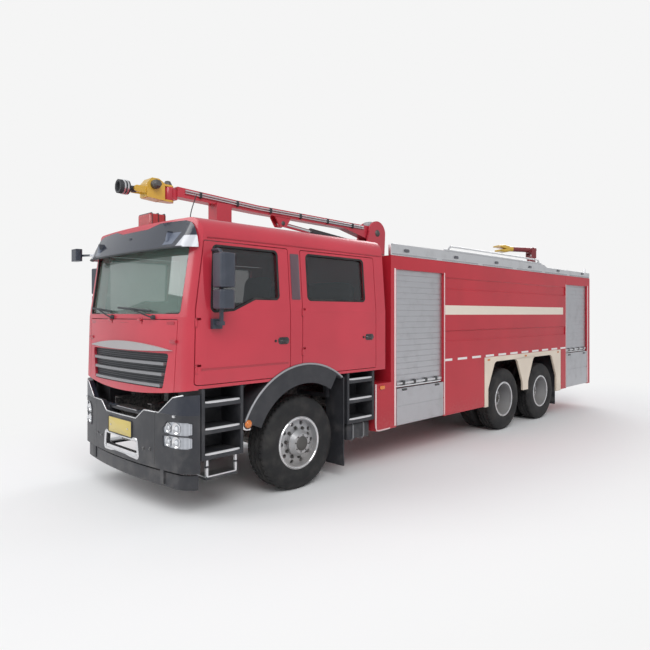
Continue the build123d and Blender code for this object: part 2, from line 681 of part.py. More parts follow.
LOCKERS = [
    # back x, front x, shutter back x, shutter front x, sill z of the shutter
    (TANK_FRONT_X, BODY_FRONT_X, TANK_FRONT_X + 35, BODY_FRONT_X - 110, 1000),
    (BODY_REAR_X, TANK_REAR_X, BODY_REAR_X + 140, TANK_REAR_X - 25, 1200),
]
FLAP_BOTTOM_Z = BODY_BOTTOM_Z + 12
FLAP_T = 45
FLAP_HINGE_IN = 14
FLAP_PIN_R = 6
REAR_SHUTTER_HALF = 640
REAR_SHUTTER_SILL_Z = 1220


def flap_pin(x_from, x_to, radius):
    # A round bar on the step flap's hinge line.
    y, z = BODY_HALF - FLAP_HINGE_IN, FLAP_BOTTOM_Z + FLAP_HINGE_IN
    return rod((x_from, y, z), (x_to, y, z), radius)


def locker(back, front, shut_back, shut_front, sill):
    shell = body_section((back, front))
    t = LOCKER_WALL
    points = [
        (-BODY_HALF + t, BODY_BOTTOM_Z + t), (-BODY_HALF + t, DECK_Z - t), (BODY_HALF - t, DECK_Z - t),
        (BODY_HALF - t, BODY_BOTTOM_Z + t), (TUNNEL_HALF + t, BODY_BOTTOM_Z + t),
        (TUNNEL_HALF + t, SUBFRAME_TOP_Z + t), (-TUNNEL_HALF - t, SUBFRAME_TOP_Z + t),
        (-TUNNEL_HALF - t, BODY_BOTTOM_Z + t),
    ]
    shell -= along(front_face(points), (back + t, front - t))
    doorway = (FLAP_BOTTOM_Z - 12, SHUTTER_TOP_Z)
    for side in both_sides(block((shut_back, shut_front), (BODY_HALF - 2 * t, BODY_HALF + 50), doorway)):
        shell -= side
    for x, inward in ((shut_back, 1), (shut_front, -1)):
        for side in both_sides(flap_pin(x - inward * 20, x + inward * (PANEL_GAP + 30), FLAP_PIN_R)):
            shell += side
    # A cross rail between the shutter and the step flap.
    rail_y = (BODY_HALF - 110, BODY_HALF - FLAP_T - 25)
    for side in both_sides(block((shut_back - 5, shut_front + 5), rail_y, (sill - 40, sill - 6))):
        shell += side
    return shell


def lockers():
    front = locker(*LOCKERS[0])
    skirt_x = (BODY_FRONT_X - 5, BODY_FRONT_X + 300)
    skirt = block(skirt_x, (TUNNEL_HALF + 60, BODY_HALF), (BODY_BOTTOM_Z, 1090))
    for side in both_sides(skirt):
        front += side
    front += rod((TURRET_X, 0, DECK_Z - 5), (TURRET_X, 0, PEDESTAL_TOP_Z), 215)
    rear = locker(*LOCKERS[1])
    tail = (BODY_REAR_X - 10, BODY_REAR_X + LOCKER_WALL + 5)
    half = REAR_SHUTTER_HALF
    rear -= block(tail, (-half, half), (REAR_SHUTTER_SILL_Z, SHUTTER_TOP_Z))
    rear += rod((DECK_MONITOR_X, 0, DECK_Z - 5), (DECK_MONITOR_X, 0, DECK_RISER_TOP_Z), 75)
    return group([front, rear])


GROOVES = [
    # low z, high z
    (1570, 1745),
    (2355, 2540),
]
GROOVE_DEPTH = 18


def tank_body():
    # The tank section: grooved sides, wheel wells below, and two low skirts ahead of the wheels.
    x = (TANK_REAR_X, TANK_FRONT_X)
    tank = body_section(x)
    well_x = (TANK_REAR_X - 10, ARCH_PANEL_FRONT_X + 15)
    for side in both_sides(block(well_x, (WELL_IN_Y - 30, BODY_HALF + 50), (0, WELL_TOP_Z))):
        tank -= side
    seat_y = (BODY_HALF - ARCH_PANEL_T, BODY_HALF + 50)
    for side in both_sides(block((ARCH_PANEL_REAR_X, well_x[1]), seat_y, (0, ARCH_PANEL_TOP_Z))):
        tank -= side
    for low, high in GROOVES:
        points = [
            (BODY_HALF + 1, low - 1), (BODY_HALF - GROOVE_DEPTH, low + GROOVE_DEPTH),
            (BODY_HALF - GROOVE_DEPTH, high - GROOVE_DEPTH), (BODY_HALF + 1, high + 1),
        ]
        for side in both_sides(along(front_face(points), (x[0] - 10, x[1] + 10))):
            tank -= side
    post_x = (TANK_REAR_X, ARCH_PANEL_REAR_X - 10)
    post = block(post_x, (BODY_HALF - 260, BODY_HALF), (BODY_BOTTOM_Z, WELL_TOP_Z + 5))
    for side in both_sides(post):
        tank += side
    return tank


def arch_panels():
    # A light panel over both rear wheels with a tapering tongue between them.
    t = ARCH_PANEL_T
    low, high = BODY_BOTTOM_Z - 15, ARCH_PANEL_TOP_Z - SEAT_GAP
    outline = [
        (ARCH_PANEL_REAR_X, low), (ARCH_PANEL_REAR_X, high),
        (ARCH_PANEL_FRONT_X, high), (ARCH_PANEL_FRONT_X, low),
    ]
    panel = across(side_face(outline), (BODY_HALF - t + SEAT_GAP, BODY_HALF))
    arch_top = 1195
    for x in (MID_AXLE_X, REAR_AXLE_X):
        arch = [
            (x - 600, 0), (x - 600, 760), (x - 380, arch_top),
            (x + 380, arch_top), (x + 600, 760), (x + 600, 0),
        ]
        panel -= across(side_face(arch, 110), (BODY_HALF - 200, BODY_HALF + 50))
    panel -= block((REAR_AXLE_X, MID_AXLE_X), (BODY_HALF - 200, BODY_HALF + 50), (0, 620))
    return group(both_sides(panel))


def roof_coaming():
    x = (BODY_REAR_X, BODY_FRONT_X)
    z = (DECK_Z + SEAT_GAP, COAMING_TOP_Z)
    ring = block(x, (-BODY_HALF, BODY_HALF), z)
    inside = BODY_HALF - COAMING_WALL
    ring -= block((x[0] + COAMING_WALL, x[1] + 50), (-inside, inside), (0, 4000))
    # The rim steps down over the bogie and runs lower to the tail.
    low = COAMING_TOP_Z - COAMING_DROP
    step = [
        (x[0] - 10, low), (REAR_AXLE_X - 180, low),
        (REAR_AXLE_X - 60, COAMING_TOP_Z + 1), (x[0] - 10, COAMING_TOP_Z + 1),
    ]
    ring -= across(side_face(step), (-BODY_HALF - 10, BODY_HALF + 10))
    rail_x = (REAR_AXLE_X + 20, TANK_FRONT_X)
    rail_y = (BODY_HALF - COAMING_WALL + 10, BODY_HALF - 15)
    for side in both_sides(block(rail_x, rail_y, (COAMING_TOP_Z - 5, COAMING_TOP_Z + 30))):
        ring += side
    return ring


def curtain(width, low, high):
    # A roller curtain, facing +Y with its outer face at Y = 0: slats with a shallow vee between them.
    points = [(-SHUTTER_T, low), (-SHUTTER_T, high), (0, high)]
    count = int((high - low) / SLAT_PITCH)
    for k in range(count, 0, -1):
        z = low + k * SLAT_PITCH
        if z < high - 8:
            points += [(0, z + 5), (-4, z), (0, z - 5)]
    points.append((0, low))
    slats = along(front_face(points), (-width / 2, width / 2))
    bar_z = low + 40
    slats += block((-width / 2 + 40, width / 2 - 40), (8, 26), (bar_z, bar_z + 24))
    for k in range(5):
        x = (k / 4 - 0.5) * (width - 140)
        slats += block((x - 22, x + 22), (-4, 10), (bar_z - 14, bar_z + 36))
    return slats


def roller_shutters():
    made = []
    for back, front, shut_back, shut_front, sill in LOCKERS:
        wide = shut_front - shut_back - 1
        hung = curtain(wide, sill, SHUTTER_TOP_Z - 0.5)
        made += both_sides(Pos((shut_back + shut_front) / 2, BODY_HALF - 40, 0) * hung)
    tail = curtain(REAR_SHUTTER_HALF * 2 - 1, REAR_SHUTTER_SILL_Z + 0.5, SHUTTER_TOP_Z - 0.5)
    made.append(Pos(BODY_REAR_X + 24, 0, 0) * Rot(0, 0, 90) * tail)
    return group(made)


def step_flap(place):
    # A step panel under a shutter, hinged along its low outer edge, with one pressed line.
    back, front, shut_back, shut_front, sill = place
    span = (shut_back + PANEL_GAP, shut_front - PANEL_GAP)
    panel = block(span, (BODY_HALF - FLAP_T, BODY_HALF), (FLAP_BOTTOM_Z, sill - 12))
    mid = (FLAP_BOTTOM_Z + sill) / 2
    panel -= block((shut_back, shut_front), (BODY_HALF - 6, BODY_HALF + 10), (mid, mid + 16))
    low = (BODY_HALF - FLAP_HINGE_IN, BODY_HALF + 1), (FLAP_BOTTOM_Z - 1, FLAP_BOTTOM_Z + FLAP_HINGE_IN)
    panel -= block((shut_back, shut_front), *low)
    panel += flap_pin(span[0], span[1], FLAP_HINGE_IN)
    for x, inward in zip(span, (1, -1)):
        panel -= flap_pin(x - inward, x + inward * 34, FLAP_PIN_R + SEAT_GAP)
    return panel


def tail_pockets(depth, grow):
    # Lamp pockets in the rear step's back face, or the lamps that fill them.
    made = []
    for y in (TAIL_LAMP_Y, TAIL_LAMP_Y + 130, TAIL_LAMP_Y + 260):
        low, high = y - 55 + grow, y + 55 - grow
        x = (-OVERALL_LENGTH / 2 + grow, -OVERALL_LENGTH / 2 + depth - grow)
        made += both_sides(block(x, (low, high), (STEP_LOW_Z + 30 + grow, STEP_HIGH_Z - 30 - grow)))
    return made


def rear_ladder():
    # Rear step bumper with a roof ladder beside the tail shutter.
    x = (-OVERALL_LENGTH / 2, BODY_REAR_X - SEAT_GAP)
    made = block((x[0], x[1]), (-BODY_HALF + 40, BODY_HALF - 40), (STEP_LOW_Z, STEP_HIGH_Z))
    for pocket in tail_pockets(TAIL_LAMP_DEPTH, 0):
        made -= pocket
    for y in LADDER_Y:
        made += block((x[0], x[0] + 32), (y - 20, y + 20), (STEP_HIGH_Z - 10, COAMING_TOP_Z + 60))
        for z in (1500, 2400):
            made += block((x[0], x[1]), (y - 20, y + 20), (z, z + 40))
    for k in range(7):
        z = 860 + 290 * k
        made += block((x[0] + 4, x[0] + 28), LADDER_Y, (z, z + 26))
    return made


def lamps_red():
    # Beacon on the cab roof, and the tail lamps.
    beacon_x = (FRONT_AXLE_X + 1080, FRONT_AXLE_X + 1270)
    beacon = block(beacon_x, (-150, 150), (CAB_ROOF_Z + SEAT_GAP, CAB_ROOF_Z + 150))
    return group([beacon] + tail_pockets(TAIL_LAMP_DEPTH, SEAT_GAP))


def boom_rest():
    x = FRONT_AXLE_X + 290
    made = block((x - 130, x + 130), (-160, 160), (CAB_ROOF_Z + SEAT_GAP, CAB_ROOF_Z + 20))
    for dx in (-95, 95):
        made += block((x + dx - 20, x + dx + 20), (-120, 120), (CAB_ROOF_Z + 10, CAB_ROOF_Z + 140))
    made += block((x - 130, x + 130), (-140, 140), (CAB_ROOF_Z + 135, CAB_ROOF_Z + 170))
    return made


def frame_rails():
    # Two channels with a subframe, crossmembers and towing plates; rubber mounts stand under the cab.
    made, mounts = None, []
    for s in (-1, 1):
        y = sorted((s * RAIL_OUT, s * (RAIL_OUT - RAIL_FLANGE)))
        rail = block((RAIL_REAR_X, RAIL_FRONT_X), y, (RAIL_BOTTOM_Z, RAIL_TOP_Z))
        web = sorted((s * (RAIL_OUT - RAIL_WEB), s * (RAIL_OUT - RAIL_FLANGE - 5)))
        hollow = (RAIL_BOTTOM_Z + RAIL_WEB, RAIL_TOP_Z - RAIL_WEB)
        rail -= block((RAIL_REAR_X - 5, RAIL_FRONT_X + 5), web, hollow)
        rail += block((RAIL_REAR_X, BODY_FRONT_X), y, (RAIL_TOP_Z - 2, SUBFRAME_TOP_Z - SEAT_GAP))
        for x in (FRONT_AXLE_X - 1150, FRONT_AXLE_X + 1150):
            mounts.append(block((x - 60, x + 60), y, (RAIL_TOP_Z + SEAT_GAP, CAB_SILL_Z - SEAT_GAP)))
        made = rail if made is None else made + rail
    # Crossmembers between the rails, clear of the engine.
    reach = RAIL_OUT - RAIL_WEB / 2
    members = [RAIL_REAR_X + 60, REAR_AXLE_X - 420, BOGIE_X, MID_AXLE_X + 500, MID_AXLE_X + 1600]
    for x in members + [FRONT_AXLE_X - 1500, RAIL_FRONT_X - 60]:
        made += block((x - 45, x + 45), (-reach, reach), (RAIL_BOTTOM_Z + 50, RAIL_BOTTOM_Z + 190))
    # Brackets round the bogie's cross tube.
    for s in (-1, 1):
        y = sorted((s * RAIL_OUT, s * (RAIL_OUT - 60)))
        made += block((BOGIE_X - 110, BOGIE_X + 110), y, (TRUNNION_Z - 90, RAIL_BOTTOM_Z + 5))
    made -= rod((BOGIE_X, -600, TRUNNION_Z), (BOGIE_X, 600, TRUNNION_Z), TRUNNION_R + SEAT_GAP)
    # Towing plates at both ends, each with an upright pin hole.
    for x, z, out in ((RAIL_FRONT_X - 60, TOW_FRONT_Z, 1), (RAIL_REAR_X + 60, TOW_REAR_Z, -1)):
        reach = sorted((x - out * 40, x + out * TOW_REACH))
        made += block(reach, (-65, 65), (z, z + TOW_PLATE))
        made += block((x - 40, x + 40), (-65, 65), sorted((z, RAIL_BOTTOM_Z + 100)))
        hole = x + out * (TOW_REACH - 60)
        made -= rod((hole, 0, z - 50), (hole, 0, z + TOW_PLATE + 50), TOW_HOLE_R)
    return group([made] + mounts)


TRUNNION_Z = 690
TRUNNION_R = 55
BEAM_TOP_Z = AXLE_Z + 30
SPRING_T = 65


def leaf_pack(x, half_length, low_mid, low_end, y):
    # A leaf pack drawn as one arched bar.
    lower = ThreePointArc((x - half_length, low_end), (x, low_mid), (x + half_length, low_end))
    top_end, top_mid = low_end + SPRING_T, low_mid + SPRING_T
    upper = ThreePointArc((x + half_length, top_end), (x, top_mid), (x - half_length, top_end))
    ends = [
        Line((x + half_length, low_end), (x + half_length, top_end)),
        Line((x - half_length, top_end), (x - half_length, low_end)),
    ]
    face = make_face([lower, ends[0], upper, ends[1]])
    face = Plane((0, 0, 0), x_dir=(1, 0, 0), z_dir=(0, -1, 0)) * face
    return across(face, y)


def axles():
    # Front beam with its leaf packs and king pins, then the bogie with both drive axles.
    x = FRONT_AXLE_X
    front = block((x - 55, x + 55), (-640, 640), (AXLE_Z - 130, AXLE_Z - 20))
    for s in (-1, 1):
        arm = sorted((s * 600, s * (KINGPIN_Y - 30)))
        front += block((x - 50, x + 50), arm, (AXLE_Z - 68, AXLE_Z + 60))
        front += rod((x, s * KINGPIN_Y, AXLE_Z - 75), (x, s * KINGPIN_Y, AXLE_Z + 75), 60)
        front += rod((x, s * KINGPIN_Y, AXLE_Z - 130), (x, s * KINGPIN_Y, AXLE_Z + 130), 24)
        y = sorted((s * (RAIL_OUT - 85), s * (RAIL_OUT - 5)))
        front += leaf_pack(x, 700, AXLE_Z - 25, RAIL_BOTTOM_Z - SPRING_T - SEAT_GAP, y)
    rear = rod((BOGIE_X, -RAIL_OUT - 105, TRUNNION_Z), (BOGIE_X, RAIL_OUT + 105, TRUNNION_Z), TRUNNION_R)
    for axle_x in (MID_AXLE_X, REAR_AXLE_X):
        rear += block((axle_x - 75, axle_x + 75), (-560, 560), (AXLE_Z - 75, AXLE_Z + 75))
        end = TWIN_OUT_Y - 40
        rear += rod((axle_x, -end, AXLE_Z), (axle_x, end, AXLE_Z), REAR_SPINDLE_R)
        rear += Pos(axle_x, 0, AXLE_Z) * Sphere(205)
    for s in (-1, 1):
        y = sorted((s * (RAIL_OUT + 15), s * (RAIL_OUT + 95)))
        rear += leaf_pack(BOGIE_X, 790, TRUNNION_Z + 45, AXLE_Z + 65, y)
    return group([front, rear])


def engine_block():
    x = (FRONT_AXLE_X - 470, FRONT_AXLE_X + 900)
    made = block(x, (-320, 320), (660, CAB_SILL_Z + 210))
    for foot in (x[0] + 120, x[1] - 220):
        seat = (RAIL_TOP_Z + SEAT_GAP, RAIL_TOP_Z + 50)
        made += block((foot, foot + 100), (-RAIL_OUT + 20, RAIL_OUT - 20), seat)
    return made


def knuckle():
    # A fork over the king pin with the wheel's spindle.
    x, y = FRONT_AXLE_X, KINGPIN_Y
    made = block((x - 55, x + 55), (y - 55, y + 110), (AXLE_Z + 75 + SEAT_GAP, AXLE_Z + 125))
    made += block((x - 55, x + 55), (y - 55, y + 110), (AXLE_Z - 125, AXLE_Z - 75 - SEAT_GAP))
    made += block((x - 55, x + 55), (y + 75, y + 110), (AXLE_Z - 125, AXLE_Z + 125))
    made -= rod((x, y, 0), (x, y, 2 * AXLE_Z), 24 + SEAT_GAP)
    made += rod((x, y + 100, AXLE_Z), (x, FRONT_TRACK_HALF + 68, AXLE_Z), SPINDLE_R)
    return made


def tyre(x, y, wide):
    r, half, bead = TYRE_DIAMETER / 2, wide / 2, RIM_R + SEAT_GAP - 22
    profile = [
        (bead, -half + 40), (r - 90, -half), (r - 22, -half + 18), (r, -half + 60),
        (r, half - 60), (r - 22, half - 18), (r - 90, half), (bead, half - 40),
    ]
    return ring_y(profile, x, y, AXLE_Z)


def front_rim():
    # Single wheel: a rolled rim, a disc set back from its lip and a stepped hub.
    half = FRONT_TYRE_WIDE / 2 - 22
    seat = RIM_R - 22
    profile = [
        (seat, -half), (seat, half - 18), (RIM_R, half - 12), (RIM_R, half), (RIM_R - 34, half),
        (RIM_R - 48, half - 60), (190, half - 45), (150, half - 45), (150, half - 5), (110, half + 45),
        (0, half + 45), (0, half - 70), (HUB_BORE_R, half - 70), (HUB_BORE_R, -half + 112),
        (150, -half + 112), (170, half - 85), (RIM_R - 52, half - 90), (RIM_R - 52, -half),
    ]
    rim = ring_y(profile, FRONT_AXLE_X, FRONT_TRACK_HALF, AXLE_Z)
    for k in range(10):
        a = radians(36 * k)
        x, z = FRONT_AXLE_X + 222 * cos(a), AXLE_Z + 222 * sin(a)
        rim -= rod((x, FRONT_TRACK_HALF, z), (x, FRONT_TRACK_HALF + 400, z), 24)
    return rim


def twin_rim(x):
    # Twin wheels back to back on one hub: the outer one is dished deep behind its lip.
    seat = RIM_R - 22
    out = TWIN_TYRE_WIDE / 2 - 22
    inner = -TWIN_PITCH - out
    bore = REAR_SPINDLE_R + SEAT_GAP
    profile = [
        (seat, inner), (seat, out - 18), (RIM_R, out - 12), (RIM_R, out), (RIM_R - 34, out),
        (RIM_R - 48, -150), (180, -165), (165, -60), (125, -20), (0, -20), (0, -36), (bore, -36),
        (bore, -330), (150, -330), (175, -195), (RIM_R - 52, -195), (RIM_R - 52, inner),
    ]
    return ring_y(profile, x, TWIN_OUT_Y, AXLE_Z)


def mirror_pair():
    # A tall main mirror over a wide-angle one, on a curved arm and a foot on the front door.
    x, y = DOOR_FRONT_X - 100, CAB_HALF
    heads = [
        # low z, high z, reach of the head
        (2245, 2575, 265),
        (2040, 2225, 255),
    ]
    made = block((x - 110, x - 80), (y + 90, y + 120), (1900, 2560))
    for low, high, reach in heads:
        corners = [(x - 190, y + 50), (x - 25, y + 45), (x, y + reach), (x - 165, y + reach - 15)]
        plan = Polygon(*corners, align=None)
        plan = fillet(plan.vertices(), 40)
        head = extrude(Pos(0, 0, low) * plan, amount=high - low, dir=(0, 0, 1))
        made += fillet(head.edges().filter_by(Plane.XY), 16)
    # The foot stands on the door, the arm comes down from over the window.
    made += block((x - 150, x - 40), (y - 40, y + 40), (1845, 1945))
    made += block((x - 125, x - 65), (y - 20, y + 120), (1880, 1920))
    top = 2620
    root = y - CAB_TUMBLE * (top - CAB_BELT_Z) / (CAB_ROOF_Z - CAB_BELT_Z)
    bend = [Line((root - 20, top), (y + 45, top)), RadiusArc((y + 45, top), (y + 105, top - 60), 60)]
    path = Plane((x - 95, 0, 0), x_dir=(0, 1, 0), z_dir=(1, 0, 0)) * Wire(bend)
    made += sweep(Plane((x - 95, root - 20, top), z_dir=(0, 1, 0)) * Circle(16), path=path)
    return made - cab_hull(-SEAT_GAP)


def boom_turret():
    # A yoke on a slewing disc: two round-headed cheeks hold the boom's root and the lift ram's foot.
    made = rod((TURRET_X, 0, PEDESTAL_TOP_Z + SEAT_GAP), (TURRET_X, 0, PEDESTAL_TOP_Z + 55), 205)
    side = [
        (TURRET_X - 170, PEDESTAL_TOP_Z + 40), (TURRET_X - 190, BOOM_PIVOT_Z),
        (TURRET_X + 190, BOOM_PIVOT_Z), (LIFT_BASE_X + 60, LIFT_BASE_Z + 60),
        (LIFT_BASE_X + 60, PEDESTAL_TOP_Z + 40),
    ]
    for s in (-1, 1):
        y = sorted((s * CHEEK_IN, s * (CHEEK_IN + CHEEK_T)))
        made += across(side_face(side), y)
        made += rod((TURRET_X, y[0], BOOM_PIVOT_Z), (TURRET_X, y[1], BOOM_PIVOT_Z), 190)
    floor = PEDESTAL_TOP_Z + 40
    made += block((TURRET_X - 170, LIFT_BASE_X + 60), (-CHEEK_IN - 5, CHEEK_IN + 5), (floor, floor + 25))
    pins = ((TURRET_X, BOOM_PIVOT_Z, BOOM_PIN_R), (LIFT_BASE_X, LIFT_BASE_Z, LIFT_PIN_R))
    for x, z, radius in pins:
        made += rod((x, -CHEEK_IN - 5, z), (x, CHEEK_IN + 5, z), radius)
    return made


def boom_arm():
    # A tapering box arm with a rest block, the ram's lug and a swivel boss at its front end.
    knee = LIFT_EYE_X + 440
    side = [
        (TURRET_X - 95, BOOM_PIVOT_Z - 95), (TURRET_X - 95, BOOM_PIVOT_Z + 100),
        (TURRET_X + 350, BOOM_PIVOT_Z + 104), (knee, BOOM_PIVOT_Z + 130),
        (BOOM_FRONT_X, BOOM_PIVOT_Z + 187), (BOOM_FRONT_X, BOOM_PIVOT_Z + 72),
        (knee, BOOM_PIVOT_Z + 32), (TURRET_X + 690, BOOM_PIVOT_Z + 12), (TURRET_X + 190, BOOM_PIVOT_Z - 100),
    ]
    arm = across(side_face(side), (-BOOM_HALF, BOOM_HALF))
    arm += rod((TURRET_X, -CHEEK_IN + 6, BOOM_PIVOT_Z), (TURRET_X, CHEEK_IN - 6, BOOM_PIVOT_Z), 110)
    arm -= rod((TURRET_X, -200, BOOM_PIVOT_Z), (TURRET_X, 200, BOOM_PIVOT_Z), BOOM_PIN_R + SEAT_GAP)
    for s in (-1, 1):
        y = sorted((s * 40, s * 62))
        lug = [
            (LIFT_EYE_X - 150, BOOM_PIVOT_Z + 50), (LIFT_EYE_X + 150, BOOM_PIVOT_Z + 50),
            (LIFT_EYE_X + 55, LIFT_EYE_Z - 45), (LIFT_EYE_X - 55, LIFT_EYE_Z - 45),
        ]
        arm += across(side_face(lug, 25), y)
    rest_x = FRONT_AXLE_X + 290
    arm += block((rest_x - 105, rest_x + 105), (-95, 95), (CAB_ROOF_Z + 176, BOOM_PIVOT_Z + 75))
    arm += rod((MONITOR_AXIS_X, 0, MONITOR_Z - 75), (MONITOR_AXIS_X, 0, MONITOR_Z + 75), 62)
    arm += block((BOOM_FRONT_X - 10, MONITOR_AXIS_X), (-45, 45), (MONITOR_Z - 60, MONITOR_Z + 60))
    return arm


RAM = Vector(LIFT_EYE_X - LIFT_BASE_X, 0, LIFT_EYE_Z - LIFT_BASE_Z)
RAM_LINE = RAM.normalized()


def ram_point(distance):
    point = Vector(LIFT_BASE_X, 0, LIFT_BASE_Z) + RAM_LINE * distance
    return (point.X, point.Y, point.Z)


def lift_barrel():
    end = RAM.length * 0.68
    tube = rod(ram_point(60), ram_point(end), LIFT_BARREL_R)
    tube += rod((LIFT_BASE_X, -60, LIFT_BASE_Z), (LIFT_BASE_X, 60, LIFT_BASE_Z), 62)
    tube -= rod((LIFT_BASE_X, -100, LIFT_BASE_Z), (LIFT_BASE_X, 100, LIFT_BASE_Z), LIFT_PIN_R + SEAT_GAP)
    return tube - rod(ram_point(110), ram_point(end + 50), LIFT_ROD_R + SEAT_GAP)


def lift_rod():
    made = rod(ram_point(130), ram_point(RAM.length - 30), LIFT_ROD_R)
    made += rod((LIFT_EYE_X, -32, LIFT_EYE_Z), (LIFT_EYE_X, 32, LIFT_EYE_Z), 46)
    return made - rod((LIFT_EYE_X, -60, LIFT_EYE_Z), (LIFT_EYE_X, 60, LIFT_EYE_Z), LIFT_PIN_R)


def boom_monitor():
    # Monitor body: a fork on the swivel boss, a humped gear case and a fork for the nozzle.
    x, z = MONITOR_AXIS_X, MONITOR_Z
    made = None
    for low, high in ((z + 75 + SEAT_GAP, z + 97), (z - 97, z - 75 - SEAT_GAP)):
        plate = rod((x, 0, low), (x, 0, high), 62) + block((x, x + 110), (-62, 62), (low, high))
        made = plate if made is None else made + plate
    case = [
        (x + 78, z - 97), (x + 78, z + 97), (x + 150, z + 140),
        (x + 235, z + 140), (x + 290, z + 70), (x + 290, z - 80),
    ]
    made += across(side_face(case, 20), (-85, 85))
    for s in (-1, 1):
        y = sorted((s * 45, s * 68))
        made += block((x + 270, NOZZLE_AXIS_X), y, (z - 35, z + 35))
        made += rod((NOZZLE_AXIS_X, y[0], z), (NOZZLE_AXIS_X, y[1], z), 35)
    return made + rod((NOZZLE_AXIS_X, -50, z), (NOZZLE_AXIS_X, 50, z), 14)


def boom_nozzle():
    x, z = NOZZLE_AXIS_X, MONITOR_Z
    made = rod((x, -40, z), (x, 40, z), 34) + rod((x, 0, z), (NOZZLE_TIP_X - 60, 0, z), 30)
    made += rod((NOZZLE_TIP_X - 110, 0, z), (NOZZLE_TIP_X, 0, z), 75)
    made -= rod((NOZZLE_TIP_X - 60, 0, z), (NOZZLE_TIP_X + 5, 0, z), 52)
    return made - rod((x, -60, z), (x, 60, z), 14 + SEAT_GAP)


DECK_PLACE = Pos(DECK_MONITOR_X, 0, 0) * Rot(0, 0, DECK_MONITOR_YAW)


def deck_monitor_base():
    # A swivel elbow on the riser with a fork that carries the barrel.
    made = rod((0, 0, DECK_RISER_TOP_Z + SEAT_GAP), (0, 0, DECK_PITCH_Z - 130), 95)
    for s in (-1, 1):
        y = sorted((s * 92, s * 118))
        made += block((-60, 60), y, (DECK_PITCH_Z - 170, DECK_PITCH_Z))
        made += rod((0, y[0], DECK_PITCH_Z), (0, y[1], DECK_PITCH_Z), 60)
        made += block((-60, 60), sorted((s * 60, s * 118)), (DECK_PITCH_Z - 170, DECK_PITCH_Z - 130))
    made += rod((0, -95, DECK_PITCH_Z), (0, 95, DECK_PITCH_Z), 22)
    return DECK_PLACE * made


def deck_monitor_barrel():
    # A barrel that ends in a flattened, flared nozzle.
    z = DECK_PITCH_Z
    made = rod((0, -84, z), (0, 84, z), 78) + rod((-112, 0, z + 30), (620, 0, z + 30), 58)
    sections = [
        # x, half width, half height
        (600, 64, 64),
        (740, 84, 88),
        (930, 140, 62),
    ]
    faces = []
    for x, w, h in sections:
        plane = Plane((x, 0, z + 30), x_dir=(0, 1, 0), z_dir=(1, 0, 0))
        faces.append(plane * RectangleRounded(2 * w, 2 * h, 40))
    made += loft(faces, ruled=True)
    # The mouth is a wedge between two lips, the upper one longer.
    mouth = [(690, z + 26), (940, z + 70), (940, z - 5)]
    made -= across(side_face(mouth), (-200, 200))
    made -= block((890, 950), (-200, 200), (z - 60, z + 20))
    return DECK_PLACE * (made - rod((0, -120, z), (0, 120, z), 22 + SEAT_GAP))


def save(name, shape):
    export_step(shape, "parts/" + name + ".step")


def save_pair(name, shape):
    save(name + "_left", shape)
    save(name + "_right", mirror(shape, about=Plane.XZ))


os.makedirs("parts", exist_ok=True)
SHELL = cab_shell()
save("cab_shell", SHELL & block((0, OVERALL_LENGTH), (-2000, 2000), (0, CAB_GUTTER_Z)))
save("cab_roof", SHELL & block((0, OVERALL_LENGTH), (-2000, 2000), (CAB_GUTTER_Z, 4000)))
save("windscreen", windscreen())
save("sun_visor", sun_visor())
PLATE, WING = grille()
save("hood_flap", hood_flap())
save("grille", group([PLATE, WING]))
save("front_bumper", front_bumper())
save("headlamps", headlamps())
save("fenders", fenders())
save("cab_steps", cab_steps())
save("dashboard", cab_fittings())
save("seats", seats())
save("boom_rest", boom_rest())
save("red_lamps", lamps_red())
save("frame_rails", frame_rails())
save("axles", axles())
save("engine_block", engine_block())
save("lockers", lockers())
save("tank_body", tank_body())
save("arch_panels", arch_panels())
save("roof_coaming", roof_coaming())
save("roller_shutters", roller_shutters())
save("rear_ladder", rear_ladder())
save_pair("front_door", door(FRONT_DOOR, FRONT_WINDOW, FRONT_DOOR_HINGES))
save_pair("front_pane", pane(FRONT_WINDOW))
save_pair("rear_door", door(REAR_DOOR, REAR_WINDOW, REAR_DOOR_HINGES))
save_pair("rear_pane", pane(REAR_WINDOW))
save_pair("door_mirror", mirror_pair())
save_pair("front_flap", step_flap(LOCKERS[0]))
save_pair("rear_flap", step_flap(LOCKERS[1]))
save_pair("knuckle", knuckle())
save_pair("front_tyre", tyre(FRONT_AXLE_X, FRONT_TRACK_HALF, FRONT_TYRE_WIDE))
save_pair("front_rim", front_rim())
for name, x in (("mid", MID_AXLE_X), ("rear", REAR_AXLE_X)):
    twins = [tyre(x, TWIN_OUT_Y - k * TWIN_PITCH, TWIN_TYRE_WIDE) for k in range(2)]
    save_pair(name + "_tyres", group(twins))
    save_pair(name + "_rims", twin_rim(x))
save("boom_turret", boom_turret())
save("boom_arm", boom_arm())
save("lift_barrel", lift_barrel())
save("lift_rod", lift_rod())
save("boom_monitor", boom_monitor())
save("boom_nozzle", boom_nozzle())
save("deck_monitor_base", deck_monitor_base())
save("deck_monitor_barrel", deck_monitor_barrel())
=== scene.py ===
import math

